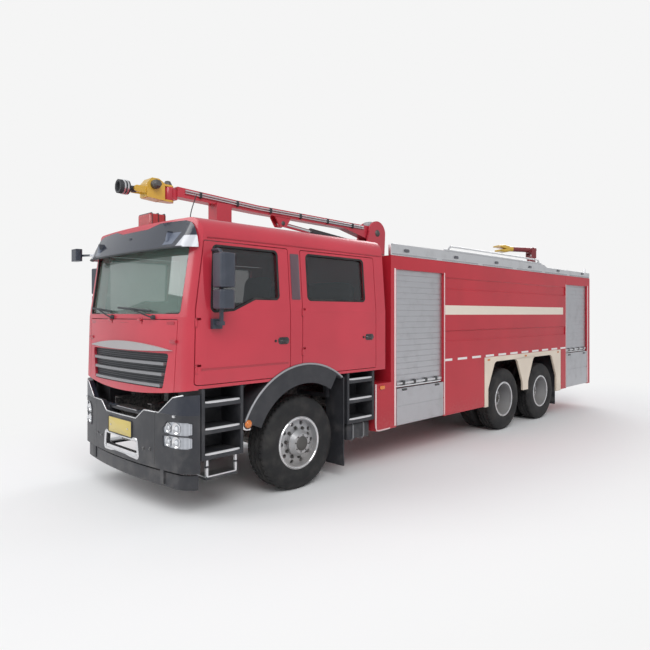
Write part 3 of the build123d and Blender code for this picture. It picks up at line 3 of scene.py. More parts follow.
import bmesh
import bpy
import numpy as np
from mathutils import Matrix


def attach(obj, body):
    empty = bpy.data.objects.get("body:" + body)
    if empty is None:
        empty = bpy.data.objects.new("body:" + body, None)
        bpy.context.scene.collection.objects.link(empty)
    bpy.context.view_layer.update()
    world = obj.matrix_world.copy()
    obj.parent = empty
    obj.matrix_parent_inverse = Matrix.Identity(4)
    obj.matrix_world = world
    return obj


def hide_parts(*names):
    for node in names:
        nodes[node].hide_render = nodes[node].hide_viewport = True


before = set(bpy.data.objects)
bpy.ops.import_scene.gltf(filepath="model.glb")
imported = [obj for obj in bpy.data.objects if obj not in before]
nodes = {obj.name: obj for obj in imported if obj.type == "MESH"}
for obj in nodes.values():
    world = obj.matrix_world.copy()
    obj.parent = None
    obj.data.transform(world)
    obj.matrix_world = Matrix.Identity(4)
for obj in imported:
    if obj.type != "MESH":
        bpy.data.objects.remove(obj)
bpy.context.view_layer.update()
print("frame loaded:", len(nodes), "CAD nodes")


class Val:
    # one output socket that can be used in sums; each operator adds a Math node
    def __init__(self, maker, socket):
        self.maker, self.socket = maker, socket

    def step(self, operation, first, second=None):
        inputs = {0: first} if second is None else {0: first, 1: second}
        return self.maker.node("Math", {"operation": operation}, inputs)

    def __add__(self, other): return self.step("ADD", self, other)
    def __radd__(self, other): return self.step("ADD", other, self)
    def __sub__(self, other): return self.step("SUBTRACT", self, other)
    def __rsub__(self, other): return self.step("SUBTRACT", other, self)
    def __mul__(self, other): return self.step("MULTIPLY", self, other)
    def __rmul__(self, other): return self.step("MULTIPLY", other, self)
    def __truediv__(self, other): return self.step("DIVIDE", self, other)
    def __rtruediv__(self, other): return self.step("DIVIDE", other, self)
    def __pow__(self, other): return self.step("POWER", self, other)
    def abs(self): return self.step("ABSOLUTE", self)
    def sin(self): return self.step("SINE", self)
    def fract(self): return self.step("FRACT", self)
    def low(self, other): return self.step("MINIMUM", self, other)
    def high(self, other): return self.step("MAXIMUM", self, other)


class Finish:
    # a material with one Principled shader and a method that adds any node
    def __init__(self, name, **fixed):
        self.mat = bpy.data.materials.new(name)
        self.mat.use_nodes = True
        self.tree = self.mat.node_tree
        self.tree.nodes.clear()
        self.out = self.tree.nodes.new("ShaderNodeOutputMaterial")
        self.shader = self.tree.nodes.new("ShaderNodeBsdfPrincipled")
        self.tree.links.new(self.shader.outputs[0], self.out.inputs[0])
        for key, value in fixed.items():
            self.set(key, value)
        coords = self.tree.nodes.new("ShaderNodeTexCoord")
        self.place = Val(self, coords.outputs["Object"])

    def put(self, socket, value):
        if isinstance(value, Val):
            self.tree.links.new(value.socket, socket)
        elif isinstance(value, (tuple, list)) and socket.type == "RGBA":
            socket.default_value = (*value[:3], 1.0)
        else:
            socket.default_value = value

    def set(self, key, value):
        # baseColor -> Base Color
        words = "".join(" " + c if c.isupper() else c for c in key).title()
        words = words.replace("I O R", "IOR")
        self.put(self.shader.inputs[words], value)

    def node(self, kind, settings=None, inputs=None, output=0):
        made = self.tree.nodes.new("ShaderNode" + kind)
        for key, value in (settings or {}).items():
            setattr(made, key, value)
        for key, value in (inputs or {}).items():
            self.put(made.inputs[key], value)
        return Val(self, made.outputs[output])

    def axes(self):
        split = self.tree.nodes.new("ShaderNodeSeparateXYZ")
        self.tree.links.new(self.place.socket, split.inputs[0])
        return [Val(self, s) for s in split.outputs]

    def noise(self, scale, detail=3.0, rough=0.55, stretch=None):
        place = self.place
        if stretch:
            place = self.node("Mapping", {}, {"Vector": place, "Scale": stretch})
        return self.node("TexNoise", {}, {"Vector": place, "Scale": scale, "Detail": detail, "Roughness": rough})

    def ramp(self, value, low, high):
        # 0 below low, 1 above high, smooth between
        return self.node("MapRange", {"interpolation_type": "SMOOTHSTEP"}, {0: value, 1: low, 2: high})

    def mix(self, factor, first, second):
        return self.node("Mix", {"data_type": "RGBA"}, {0: factor, 6: first, 7: second}, 2)

    def bump(self, height, strength, distance):
        return self.node("Bump", {}, {"Height": height, "Strength": strength, "Distance": distance})


def toned(colour, times):
    return tuple(min(1, times * c) for c in colour)


def marked(f, marks, axes, shade, dull, rough):
    # each mark is a place mask with its own colour, roughness and metal
    metal = 0.0
    for mask, other, otherRough, otherMetal in (marks(f, *axes) if marks else ()):
        shade = f.mix(mask, shade, other)
        dull = dull + (otherRough - rough) * mask
        metal = mask * otherMetal + metal
    return shade, dull, metal


def paintFinish(name, colour, rough=0.28, coat=0.6, dust=0.25, dustTop=0.9, flake=0.0, marks=None):
    # sprayed paint: slow tone drift, orange peel, road dust that thins out with height
    f = Finish(name, coatRoughness=0.08, metallic=flake)
    x, y, z = f.axes()
    drift = f.noise(1.3, 2.0)
    shade = f.mix(f.ramp(drift, 0.3, 0.7), toned(colour, 0.93), toned(colour, 1.06))
    specks = f.noise(38.0, 4.0)
    low = 1.0 - f.ramp(z, 0.2, dustTop)
    dirt = (low * f.ramp(specks + low * 0.25, 0.45, 0.8) * dust).low(0.85)
    dull = rough + dirt * 0.45 + (specks - 0.5) * 0.03
    shade, dull, metal = marked(f, marks, (x, y, z), shade, dull, rough)
    f.set("baseColor", f.mix(dirt, shade, (0.42, 0.38, 0.34)))
    f.set("roughness", dull)
    if isinstance(metal, Val):
        f.set("metallic", metal)
    f.set("coatWeight", (1.0 - dirt) * coat)
    f.set("normal", f.bump(f.noise(90.0, 1.0), 0.03, 0.0005))
    return f.mat


def plasticFinish(name, colour, rough=0.55, grain=420.0, strength=0.25, dust=0.3, dustTop=1.2, marks=None):
    # moulded plastic: fine leather grain, dulled where dust settles
    f = Finish(name, specularIORLevel=0.4)
    x, y, z = f.axes()
    cloud = f.noise(6.0, 4.0)
    low = 1.0 - f.ramp(z, 0.2, dustTop)
    dirt = (f.ramp(cloud, 0.4, 0.75) * (low * 0.7 + 0.15) * dust).low(0.7)
    dark = f.mix(cloud, toned(colour, 0.8), toned(colour, 1.25))
    dull = rough + dirt * 0.3 + (cloud - 0.5) * 0.1
    dark, dull, metal = marked(f, marks, (x, y, z), dark, dull, rough)
    f.set("baseColor", f.mix(dirt, dark, (0.25, 0.235, 0.22)))
    f.set("roughness", dull)
    if isinstance(metal, Val):
        f.set("metallic", metal)
    cells = f.node("TexVoronoi", {}, {"Vector": f.place, "Scale": grain})
    f.set("normal", f.bump(cells, strength, 0.001))
    return f.mat


def metalFinish(name, colour, rough=0.35, brush=None, stain=0.15):
    # bare metal: brushed along one axis, with a light film of grime
    f = Finish(name, metallic=1.0)
    cloud = f.noise(5.0, 4.0)
    streak = f.noise(60.0, 3.0, 0.6, brush or (1, 1, 1))
    film = f.ramp(cloud, 0.45, 0.8) * stain
    f.set("baseColor", f.mix(film, f.mix(streak, toned(colour, 0.86), colour), (0.12, 0.11, 0.1)))
    f.set("roughness", rough + film * 0.4 + (streak - 0.5) * 0.16)
    f.set("normal", f.bump(streak, 0.06, 0.001))
    return f.mat


def rubberFinish(name, colour):
    f = Finish(name, specularIORLevel=0.3)
    cloud = f.noise(7.0, 4.0)
    fine = f.noise(160.0, 2.0)
    dust = f.ramp(cloud, 0.35, 0.8) * 0.5
    f.set("baseColor", f.mix(dust, colour, (0.075, 0.07, 0.065)))
    f.set("roughness", 0.62 + dust * 0.3)
    f.set("normal", f.bump(fine, 0.12, 0.001))
    return f.mat


def treadFinish(name, colour):
    # chequer plate: raised bars in two turned lattices
    f = Finish(name, metallic=1.0)
    x, y, z = f.axes()
    first = ((x + y) * 90.0).sin() * ((x - y) * 28.0).sin()
    second = ((x - y) * 90.0).sin() * ((x + y) * 28.0).sin()
    bars = f.ramp(first.high(second), 0.45, 0.75)
    wear = f.noise(9.0, 4.0)
    f.set("baseColor", f.mix(bars, f.mix(wear, toned(colour, 0.45), toned(colour, 0.7)), colour))
    f.set("roughness", 0.5 - bars * 0.15 + (wear - 0.5) * 0.2)
    f.set("normal", f.bump(bars, 0.5, 0.003))
    return f.mat


def between(f, value, low, high, soft=0.002):
    # 1 inside a band of a coordinate, with a thin soft edge
    return f.ramp(value, low - soft, low + soft) * (1.0 - f.ramp(value, high - soft, high + soft))


def tankMarks(f, x, y, z):
    # cream stripe, a row of white dashes low on the side, and a bare deck
    side = f.ramp(y.abs(), 1.2, 1.215)
    stripe = between(f, z, 1.98, 2.12) * between(f, x, -3.52, 0.64) * side
    dash = between(f, z, 1.288, 1.322) * side * between(f, (x / 0.41).fract(), 0.08, 0.72, 0.01)
    marks = [(stripe, (0.74, 0.66, 0.56), 0.35, 0.0), (dash, (0.75, 0.72, 0.70), 0.4, 0.0)]
    return marks + deckMarks(f, x, y, z)


def deckMarks(f, x, y, z):
    # bare metal on top, inside the side walls
    deck = f.ramp(z, 2.7655, 2.7675) * (1.0 - f.ramp(y.abs(), 1.2, 1.21))
    return [(deck, (0.48, 0.49, 0.5), 0.45, 0.9)]


def grilleMarks(f, x, y, z):
    # three silver bars and the silver wing over a dark mesh of slats
    wing = f.ramp(z, 1.603, 1.606)
    low, middle, high = [between(f, z, at - 0.015, at + 0.015, 0.001) for at in (1.276, 1.389, 1.494)]
    bars = low + middle + high
    slats = between(f, (z / 0.021).fract(), 0.0, 0.45, 0.06) * (1.0 - wing) * (1.0 - bars.low(1.0))
    return [(slats, (0.006, 0.007, 0.01), 0.7, 0.0),
            (bars.low(1.0), (0.30, 0.30, 0.31), 0.32, 0.6), (wing, (0.54, 0.51, 0.51), 0.3, 0.7)]


def bumperMarks(f, x, y, z):
    # gloss slate corner pieces over the main moulding
    return [(f.ramp(z, 1.012, 1.014) * f.ramp(y.abs(), 0.7, 0.71), (0.022, 0.026, 0.038), 0.2, 0.0)]


def visorMarks(f, x, y, z):
    # pale end caps whose inner edges slant, and a paler lens next to each
    slant = y.abs() - (z - 2.64) * 0.55
    cap = f.ramp(slant, 0.965, 0.972) * (1.0 - f.ramp(z, 2.755, 2.762)) * (1.0 - f.ramp(y.abs(), 1.21, 1.215))
    lens = between(f, slant, 0.72, 0.88, 0.006) * between(f, z, 2.68, 2.80, 0.006)
    return [(lens, (0.12, 0.14, 0.19), 0.18, 0.0), (cap, (0.55, 0.56, 0.60), 0.22, 0.0)]


def barrelMarks(f, x, y, z):
    # the flared nozzle is yellow, measured along the barrel's own line
    along = (x + 4.64) * 0.8829 - y * 0.4695
    return [(f.ramp(along, 0.50, 0.51), (0.70, 0.43, 0.045), 0.35, 0.0)]


def glassFinish(name, tint, rough=0.02, alpha=0.45):
    # tinted safety glass as a thin dark sheet: see-through by alpha, with a wiped film
    f = Finish(name, specularIORLevel=0.6, iOR=1.5)
    film = f.noise(3.0, 3.0)
    f.set("baseColor", f.mix(film, tint, toned(tint, 1.5)))
    f.set("roughness", rough + f.ramp(film, 0.5, 0.8) * 0.05)
    f.set("alpha", alpha + (film - 0.5) * 0.08)
    f.set("coatWeight", 1.0)
    return f.mat


def lampFinish(name, colour, pitch=0.012):
    # a moulded lens: crossed optic ribs under a clear face
    f = Finish(name, roughness=0.12, iOR=1.5, coatRoughness=0.03)
    x, y, z = f.axes()
    across, rise, along = [(v / pitch * math.pi * k).sin() for v, k in ((y, 2), (z, 2), (x, 1))]
    ribs = across * 0.5 + rise * 0.5 + along * 0.4
    tone = f.ramp(ribs, -1.2, 1.2)
    f.set("baseColor", f.mix(tone, toned(colour, 0.6), colour))
    f.set("coatWeight", 0.9)
    f.set("normal", f.bump(tone, 0.4, 0.003))
    return f.mat


# name: maker, colour, what differs from the maker's own settings
finishSet = {
    "redPaint": (paintFinish, (0.50, 0.030, 0.052), {"rough": 0.34, "coat": 0.4}),
    # the cab red made darker: painted shade for the hood ledge, hood grips, door press line and drip rails
    "redDeep": (paintFinish, (0.36, 0.018, 0.034), {}),
    "redBody": (paintFinish, (0.45, 0.016, 0.03), {"rough": 0.42, "coat": 0.1, "dust": 0.15, "marks": deckMarks}),
    "redTank": (paintFinish, (0.45, 0.016, 0.03), {"rough": 0.42, "coat": 0.1, "dust": 0.15, "marks": tankMarks}),
    "redDark": (paintFinish, (0.20, 0.018, 0.024), {"marks": barrelMarks}),
    "creamPaint": (paintFinish, (0.74, 0.64, 0.52), {"rough": 0.4, "coat": 0.3, "dust": 0.35}),
    "edgeTape": (paintFinish, (0.78, 0.58, 0.58), {"rough": 0.4, "coat": 0.2, "dust": 0.2}),
    "greyTrim": (paintFinish, (0.30, 0.305, 0.32), {"rough": 0.4, "coat": 0.2}),
    "blackPlastic": (plasticFinish, (0.030, 0.031, 0.036), {}),
    "grilleBlack": (plasticFinish, (0.020, 0.022, 0.028), {"rough": 0.4, "marks": grilleMarks}),
    "bumperBlack": (plasticFinish, (0.031, 0.032, 0.037), {"rough": 0.42, "strength": 0.12, "marks": bumperMarks}),
    "glossBlack": (paintFinish, (0.016, 0.016, 0.018), {"rough": 0.22, "dust": 0.2}),
    "greySlate": (plasticFinish, (0.046, 0.053, 0.07), {"rough": 0.35, "strength": 0.1}),
    "smokeBrown": (paintFinish, (0.10, 0.055, 0.07), {"rough": 0.15}),
    "frameGrey": (paintFinish, (0.03, 0.031, 0.034), {"rough": 0.5, "coat": 0.1, "dust": 0.7, "dustTop": 1.6}),
    "shutterAlu": (metalFinish, (0.60, 0.60, 0.62), {"rough": 0.45, "brush": (1, 1, 30)}),
    "brightAlu": (metalFinish, (0.78, 0.78, 0.79), {"rough": 0.32}),
    "treadAlu": (treadFinish, (0.62, 0.62, 0.63), {}),
    "chromeTrim": (metalFinish, (0.82, 0.82, 0.83), {"rough": 0.14, "stain": 0.05}),
    "mirrorGlass": (metalFinish, (0.86, 0.88, 0.9), {"rough": 0.03, "stain": 0.04}),
    "wheelSilver": (paintFinish, (0.42, 0.42, 0.43), {"rough": 0.38, "coat": 0.3, "dust": 0.35, "flake": 0.5}),
    "rubber": (rubberFinish, (0.016, 0.016, 0.017), {}),
    "screenGlass": (glassFinish, (0.13, 0.20, 0.17), {"alpha": 0.5}),
    "sideGlass": (glassFinish, (0.012, 0.016, 0.018), {"alpha": 0.45}),
    "visorGlass": (paintFinish, (0.022, 0.027, 0.042), {"rough": 0.2, "coat": 0.35, "marks": visorMarks}),
    "lampClear": (lampFinish, (0.46, 0.48, 0.52), {}),
    "lampGlow": (lampFinish, (0.80, 0.82, 0.85), {}),
    "lampRed": (lampFinish, (0.5, 0.012, 0.014), {}),
    "lampAmber": (lampFinish, (0.75, 0.20, 0.015), {}),
    "lampSmoke": (lampFinish, (0.07, 0.07, 0.085), {}),
    "yellowPaint": (paintFinish, (0.66, 0.40, 0.045), {"rough": 0.35, "dust": 0.1}),
    "plateYellow": (paintFinish, (0.56, 0.44, 0.12), {"rough": 0.4, "coat": 0.2}),
    "castIron": (metalFinish, (0.16, 0.155, 0.15), {"rough": 0.6, "stain": 0.5}),
    "seatCloth": (plasticFinish, (0.045, 0.045, 0.05), {"rough": 0.85, "grain": 900, "strength": 0.5, "dust": 0.1}),
    "cabTrim": (plasticFinish, (0.11, 0.105, 0.1), {"rough": 0.6, "dust": 0.1}),
}
finishes = {name: maker(name, colour, **more) for name, (maker, colour, more) in finishSet.items()}

nodeFinish = {
    "cab_shell": "redPaint", "cab_roof": "redPaint", "hood_flap": "redPaint", "grille": "grilleBlack",
    "windscreen": "screenGlass", "sun_visor": "visorGlass", "front_bumper": "bumperBlack", "headlamps": "lampClear",
    "fenders": "blackPlastic", "cab_steps": "blackPlastic", "dashboard": "cabTrim", "seats": "seatCloth",
    "boom_rest": "redPaint", "red_lamps": "lampRed", "frame_rails": "frameGrey", "axles": "frameGrey",
    "engine_block": "castIron", "lockers": "redBody", "tank_body": "redTank", "arch_panels": "creamPaint",
    "roof_coaming": "brightAlu", "roller_shutters": "shutterAlu", "rear_ladder": "brightAlu",
    "boom_turret": "redPaint", "boom_arm": "redPaint", "lift_barrel": "frameGrey", "lift_rod": "chromeTrim",
    "boom_monitor": "yellowPaint", "boom_nozzle": "blackPlastic",
    "deck_monitor_base": "redDark", "deck_monitor_barrel": "redDark",
}
pairFinish = {
    "front_door": "redPaint", "rear_door": "redPaint", "front_pane": "sideGlass", "rear_pane": "sideGlass",
    "door_mirror": "greySlate", "front_flap": "shutterAlu", "rear_flap": "shutterAlu", "knuckle": "frameGrey",
    "front_tyre": "rubber", "mid_tyres": "rubber", "rear_tyres": "rubber",
    "front_rim": "wheelSilver", "mid_rims": "wheelSilver", "rear_rims": "wheelSilver",
}
for name, finish in pairFinish.items():
    nodeFinish[name + "_left"] = nodeFinish[name + "_right"] = finish
for name, obj in nodes.items():
    obj.data.materials.clear()
    obj.data.materials.append(finishes[nodeFinish[name]])
print("finishes on", len(nodes), "nodes")


def gridFaces(rows, cols, wrap=True):
    # quads of a rows x cols grid of points; wrap joins the last column to the first
    r, c = np.meshgrid(np.arange(rows - 1), np.arange(cols if wrap else cols - 1), indexing="ij")
    a, b = r * cols + c, r * cols + (c + 1) % cols
    return np.stack([a, b, b + cols, a + cols], axis=-1).reshape(-1, 4)


def addPiece(name, shapes, finish, body="chassis", replaced=()):
    # joins (points, quads) pairs to one mesh, welds seams and poles, turns its faces outward
    base, points, quads = 0, [], []
    for v, q in shapes:
        points.append(v)
        quads.append(q + base)
        base += len(v)
    mesh = bpy.data.meshes.new(name)
    mesh.from_pydata(np.concatenate(points).tolist(), [], np.concatenate(quads).tolist())
    bm = bmesh.new()
    bm.from_mesh(mesh)
    bmesh.ops.remove_doubles(bm, verts=bm.verts, dist=2e-6)
    bmesh.ops.dissolve_degenerate(bm, edges=bm.edges, dist=1e-6)
    bmesh.ops.recalc_face_normals(bm, faces=bm.faces)
    bm.to_mesh(mesh)
    bm.free()
    mesh.polygons.foreach_set("use_smooth", np.ones(len(mesh.polygons), bool))
    mesh.set_sharp_from_angle(angle=math.radians(42))
    mesh.materials.append(finishes[finish])
    obj = bpy.data.objects.new(name, mesh)
    bpy.context.scene.collection.objects.link(obj)
    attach(obj, body)
    if replaced:
        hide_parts(*replaced)
    return obj


def mirrorY(shape):
    return shape[0] * (1, -1, 1), shape[1][:, ::-1]


def pairOf(shapes):
    return list(shapes) + [mirrorY(s) for s in shapes]


def bothSides(name, shapes, body, finish, replaced=""):
    # one piece on each of a left and a right body
    for side, flip in (("_left", lambda s: s), ("_right", mirrorY)):
        addPiece(name + side, [flip(s) for s in shapes], finish, body + side, (replaced + side,) if replaced else ())


def signed(value, power):
    return np.sign(value) * np.abs(value) ** power


def softBox(centre, half, power=0.22, count=28):
    # superellipsoid: each half axis times signed powers of the cosines and sines of two angles
    u, v = np.meshgrid(np.linspace(-math.pi / 2, math.pi / 2, count // 2 + 1),
                       np.arange(count) * 2 * math.pi / count + math.pi / count, indexing="ij")
    ring = signed(np.cos(u), power)
    grid = np.stack([ring * signed(np.cos(v), power), ring * signed(np.sin(v), power), signed(np.sin(u), power)], -1)
    return grid.reshape(-1, 3) * half + centre, gridFaces(count // 2 + 1, count)


def turned(shape, axis, degrees, about):
    # the shape turned about a line through a point
    k = np.array(axis, float) / np.linalg.norm(axis)
    a = math.radians(degrees)
    cross = np.array([[0, -k[2], k[1]], [k[2], 0, -k[0]], [-k[1], k[0], 0]])
    spin = np.eye(3) + math.sin(a) * cross + (1 - math.cos(a)) * cross @ cross
    return (shape[0] - about) @ spin.T + about, shape[1]


def smoothLine(points, steps=8, closed=False):
    # Catmull-Rom through the points
    p = np.array(points, float)
    before, after = (p[-1:], p[:2]) if closed else (2 * p[:1] - p[1:2], 2 * p[-1:] - p[-2:-1])
    ext = np.concatenate([before, p, after])
    t = np.linspace(0, 1, steps, endpoint=False)[None, :, None]
    a, b, c, d = [ext[k:len(ext) - 3 + k, None, :] for k in range(4)]
    line = 0.5 * (2 * b + (c - a) * t + (2 * a - 5 * b + 4 * c - d) * t ** 2 + (3 * b - a - 3 * c + d) * t ** 3)
    line = line.reshape(-1, 3)
    return line if closed else np.concatenate([line, p[-1:]])


def tube(points, radius, sides=10, closed=False, steps=8, up=(0, 0, 1), straight=False):
    # an ellipse of (across, along up) radii carried along a line, its ends drawn together
    line = np.array(points, float) if straight else smoothLine(points, steps, closed)
    a, b = (radius, radius) if np.isscalar(radius) else radius
    if closed:
        run = np.roll(line, -1, 0) - np.roll(line, 1, 0)
    else:
        run = np.gradient(line, axis=0)
    run /= np.linalg.norm(run, axis=1, keepdims=True)
    side = np.cross(run, np.array(up, float))
    side /= np.maximum(np.linalg.norm(side, axis=1, keepdims=True), 1e-9)
    rise = np.cross(side, run)
    v = np.arange(sides) * 2 * math.pi / sides + math.pi / sides
    rings = line[:, None] + a * np.cos(v)[None, :, None] * side[:, None] + b * np.sin(v)[None, :, None] * rise[:, None]
    if closed:
        rings = np.concatenate([rings, rings[:1]])
    else:
        rings = np.concatenate([np.repeat(line[:1, None], sides, 1), rings, np.repeat(line[-1:, None], sides, 1)])
    return rings.reshape(-1, 3), gridFaces(len(rings), sides)


def lathe(profile, centre, axis, sides=40, flat=0):
    # (radius, offset along the axis) turned about an axis; flat makes a many-sided prism
    p = np.array(profile, float)
    k = np.array(axis, float)
    e = np.cross(k, (0.3, 0.2, 0.93))
    e /= np.linalg.norm(e)
    g = np.cross(k, e)
    n = flat or sides
    v = np.arange(n) * 2 * math.pi / n
    spoke = np.cos(v)[:, None] * e + np.sin(v)[:, None] * g
    grid = np.array(centre, float) + p[:, 1, None, None] * k + p[:, 0, None, None] * spoke[None]
    return grid.reshape(-1, 3), gridFaces(len(p), n)


def roundLoop(corners, radius, per=6):
    # a closed 2-D outline with each corner swept by an arc
    p = np.array(corners, float)
    before, after = np.roll(p, 1, 0) - p, np.roll(p, -1, 0) - p
    before /= np.linalg.norm(before, axis=1, keepdims=True)
    after /= np.linalg.norm(after, axis=1, keepdims=True)
    half = np.arccos(np.clip((before * after).sum(1), -1, 1)) / 2
    mid = before + after
    mid /= np.maximum(np.linalg.norm(mid, axis=1, keepdims=True), 1e-9)
    centre = p + mid * (radius / np.sin(half))[:, None]
    first, last = p + before * (radius / np.tan(half))[:, None], p + after * (radius / np.tan(half))[:, None]
    t = np.linspace(0, 1, per)[None, :, None]
    arm = (first - centre)[:, None] * (1 - t) + (last - centre)[:, None] * t
    arm *= radius / np.linalg.norm(arm, axis=2, keepdims=True)
    return (centre[:, None] + arm).reshape(-1, 2)


def panel(loop, place, thick):
    # a 2-D outline as a plate with rounded rims; place maps outline points and a depth to space
    loop = np.array(loop, float)
    mid = loop.mean(0)
    steps = [(0, 0), (0.97, 0), (1, 0.3), (1, 0.7), (0.97, 1), (0, 1)]
    rows = [place(mid + (loop - mid) * grow, depth * thick) for grow, depth in steps]
    return np.concatenate(rows), gridFaces(len(rows), len(loop))


cabArcs = {"nose": 4.88, "bow": 8.205, "waist": 1.96, "screenLean": 8.0, "noseLean": 1.5,
           "half": 1.245, "belt": 2.02, "tumble": 75 / 930}
bumperArcs = {"nose": 4.93, "bow": 7.1, "turn": 0.25, "turnFrom": 0.985}


def cabFront(y, z):
    # X of the cab's bowed front: an arc in plan, leaning back over the waist and forward under it
    c = cabArcs
    over, under = np.maximum(z - c["waist"], 0), np.maximum(c["waist"] - z, 0)
    arc = c["bow"] - np.sqrt(c["bow"] ** 2 - y ** 2)
    back, forth = math.tan(math.radians(c["screenLean"])), math.tan(math.radians(c["noseLean"]))
    return c["nose"] - arc - over * back + under * forth


def cabSide(z):
    return cabArcs["half"] - np.maximum(z - cabArcs["belt"], 0) * cabArcs["tumble"]


def bumperFront(y):
    # X of the bumper's face: a longer arc whose ends turn in a quarter circle
    b = bumperArcs
    arc = b["bow"] - np.sqrt(b["bow"] ** 2 - np.minimum(np.abs(y), 1.0) ** 2)
    corner = np.maximum(np.abs(y) - b["turnFrom"], 0)
    return b["nose"] - arc - (b["turn"] - np.sqrt(np.maximum(b["turn"] ** 2 - corner ** 2, 0)))


def frontAt(y, z, out=0.0):
    # one point on the cab's front, standing proud by out
    return float(cabFront(np.array(y), np.array(z))) + out, y, z


def bumperAt(y, z, out=0.0):
    return float(bumperFront(np.array(y))) + out, y, z


def bumperLoop(loop, proud, radius, sides):
    # a closed bead that follows an outline on the bumper's face
    line = np.column_stack([bumperFront(loop[:, 0]) + proud, loop])
    return tube(line, radius, sides, closed=True, straight=True, up=(1, 0, 0))


def onFront(proud):
    return lambda p, d: np.stack([cabFront(p[:, 0], p[:, 1]) + proud + d, p[:, 0], p[:, 1]], -1)


def onBumper(proud):
    return lambda p, d: np.stack([bumperFront(p[:, 0]) + proud + d, p[:, 0], p[:, 1]], -1)


def onSide(proud):
    return lambda p, d: np.stack([p[:, 0], cabSide(p[:, 1]) + proud + d, p[:, 1]], -1)


def onBody(proud):
    return lambda p, d: np.stack([p[:, 0], np.full(len(p), 1.25 + proud) + d, p[:, 1]], -1)


def rect(u, v, radius, per=4):
    return roundLoop([(u[0], v[0]), (u[1], v[0]), (u[1], v[1]), (u[0], v[1])], radius, per)


tyreSet = {"radius": 0.525, "bead": 0.2783, "depth": 0.013, "blocks": 46, "perBlock": 6, "axleZ": 0.525}


def tyreShape(x, y, wide):
    # radius and offset follow a closed section; the tread zone sinks by zigzag rings and slanted shoulder slots
    s = tyreSet
    r, h = s["radius"], wide / 2
    wall = [(s["bead"], -h + 0.045), (s["bead"] + 0.02, -h + 0.022), (0.36, -h + 0.004), (0.43, -h),
            (r - 0.05, -h + 0.012), (r - 0.018, -h + 0.03), (r - 0.002, -h + 0.05)]
    crown = np.stack([np.full(34, r), np.linspace(-h + 0.06, h - 0.06, 34)], -1)
    other = [(a, -b) for a, b in reversed(wall)]
    section = np.concatenate([np.array(wall), crown, np.array(other)])
    section = np.column_stack([section, np.zeros(len(section))])
    section = smoothLine(section, 2)[:, :2]
    n = s["blocks"] * s["perBlock"]
    turn = np.arange(n) * 2 * math.pi / n
    rr, oo = section[:, 0][:, None], section[:, 1][:, None]
    zig = 0.007 * np.sin(turn * s["blocks"])[None]
    tread = np.clip((rr - (r - 0.012)) / 0.008, 0, 1)
    rings = np.maximum.reduce([np.abs(oo - c * h - zig) < 0.006 for c in (-0.42, 0.0, 0.42)])
    phase = (turn[None] * s["blocks"] / (2 * math.pi) + oo * 6) % 1
    slots = (phase < 0.22) & (np.abs(oo) > 0.5 * h)
    sipes = (phase > 0.55) & (phase < 0.66) & (np.abs(oo) < 0.4 * h)
    rr = rr - tread * s["depth"] * np.maximum(np.maximum(rings, slots), 0.45 * sipes)
    ribs = 0.0018 * (np.abs(rr - 0.40) < 0.006) + 0.0018 * (np.abs(rr - 0.335) < 0.005)
    oo = oo + np.sign(oo) * ribs
    grid = np.stack([x + rr * np.cos(turn), y + oo + 0 * rr, s["axleZ"] + rr * np.sin(turn)], -1)
    grid = np.concatenate([grid, grid[:1]])
    return grid.reshape(-1, 3), gridFaces(len(grid), n)


def boltRing(x, y, z, ring, count, size, tall, out):
    # six-sided nuts with a domed end, in a circle about Y
    nut = [(0, 0), (size * 1.35, 0), (size * 1.35, 0.15 * tall), (size, 0.2 * tall), (size, 0.75 * tall),
           (size * 0.7, tall), (0, tall)]
    a = np.arange(count) * 2 * math.pi / count + 0.16
    return [lathe(nut, (x + ring * math.cos(k), y, z + ring * math.sin(k)), (0, out, 0), flat=6) for k in a]


# Wheels: name, X, Y of the outer tyre, tyre width, how many side by side, Y of the disc, nut circle
wheelSet = [
    {"node": "front_tyre", "body": "wheel_front", "x": 3.39, "y": 1.015, "wide": 0.33, "twins": 1,
     "disc": 1.113, "ring": 0.17, "lip": 1.155, "cap": 1.203},
]
wheelSet += [
    {"node": end + "_tyres", "body": "wheel_" + end, "x": x, "y": 1.07, "wide": 0.30, "twins": 2,
     "disc": 0.915, "ring": 0.214, "lip": 1.195, "cap": 1.05} for end, x in (("mid", -1.21), ("rear", -2.61))
]
twinPitch, lipRadius, axleZ = 0.35, 0.283, tyreSet["axleZ"]
hubProfile = [(0, 0.012), (0.05, 0.011), (0.075, 0.006), (0.082, 0.0), (0.082, -0.012), (0, -0.012)]
angle = np.linspace(0, 2 * math.pi, 64, endpoint=False)
lipX, lipZ = lipRadius * np.cos(angle), axleZ + lipRadius * np.sin(angle)
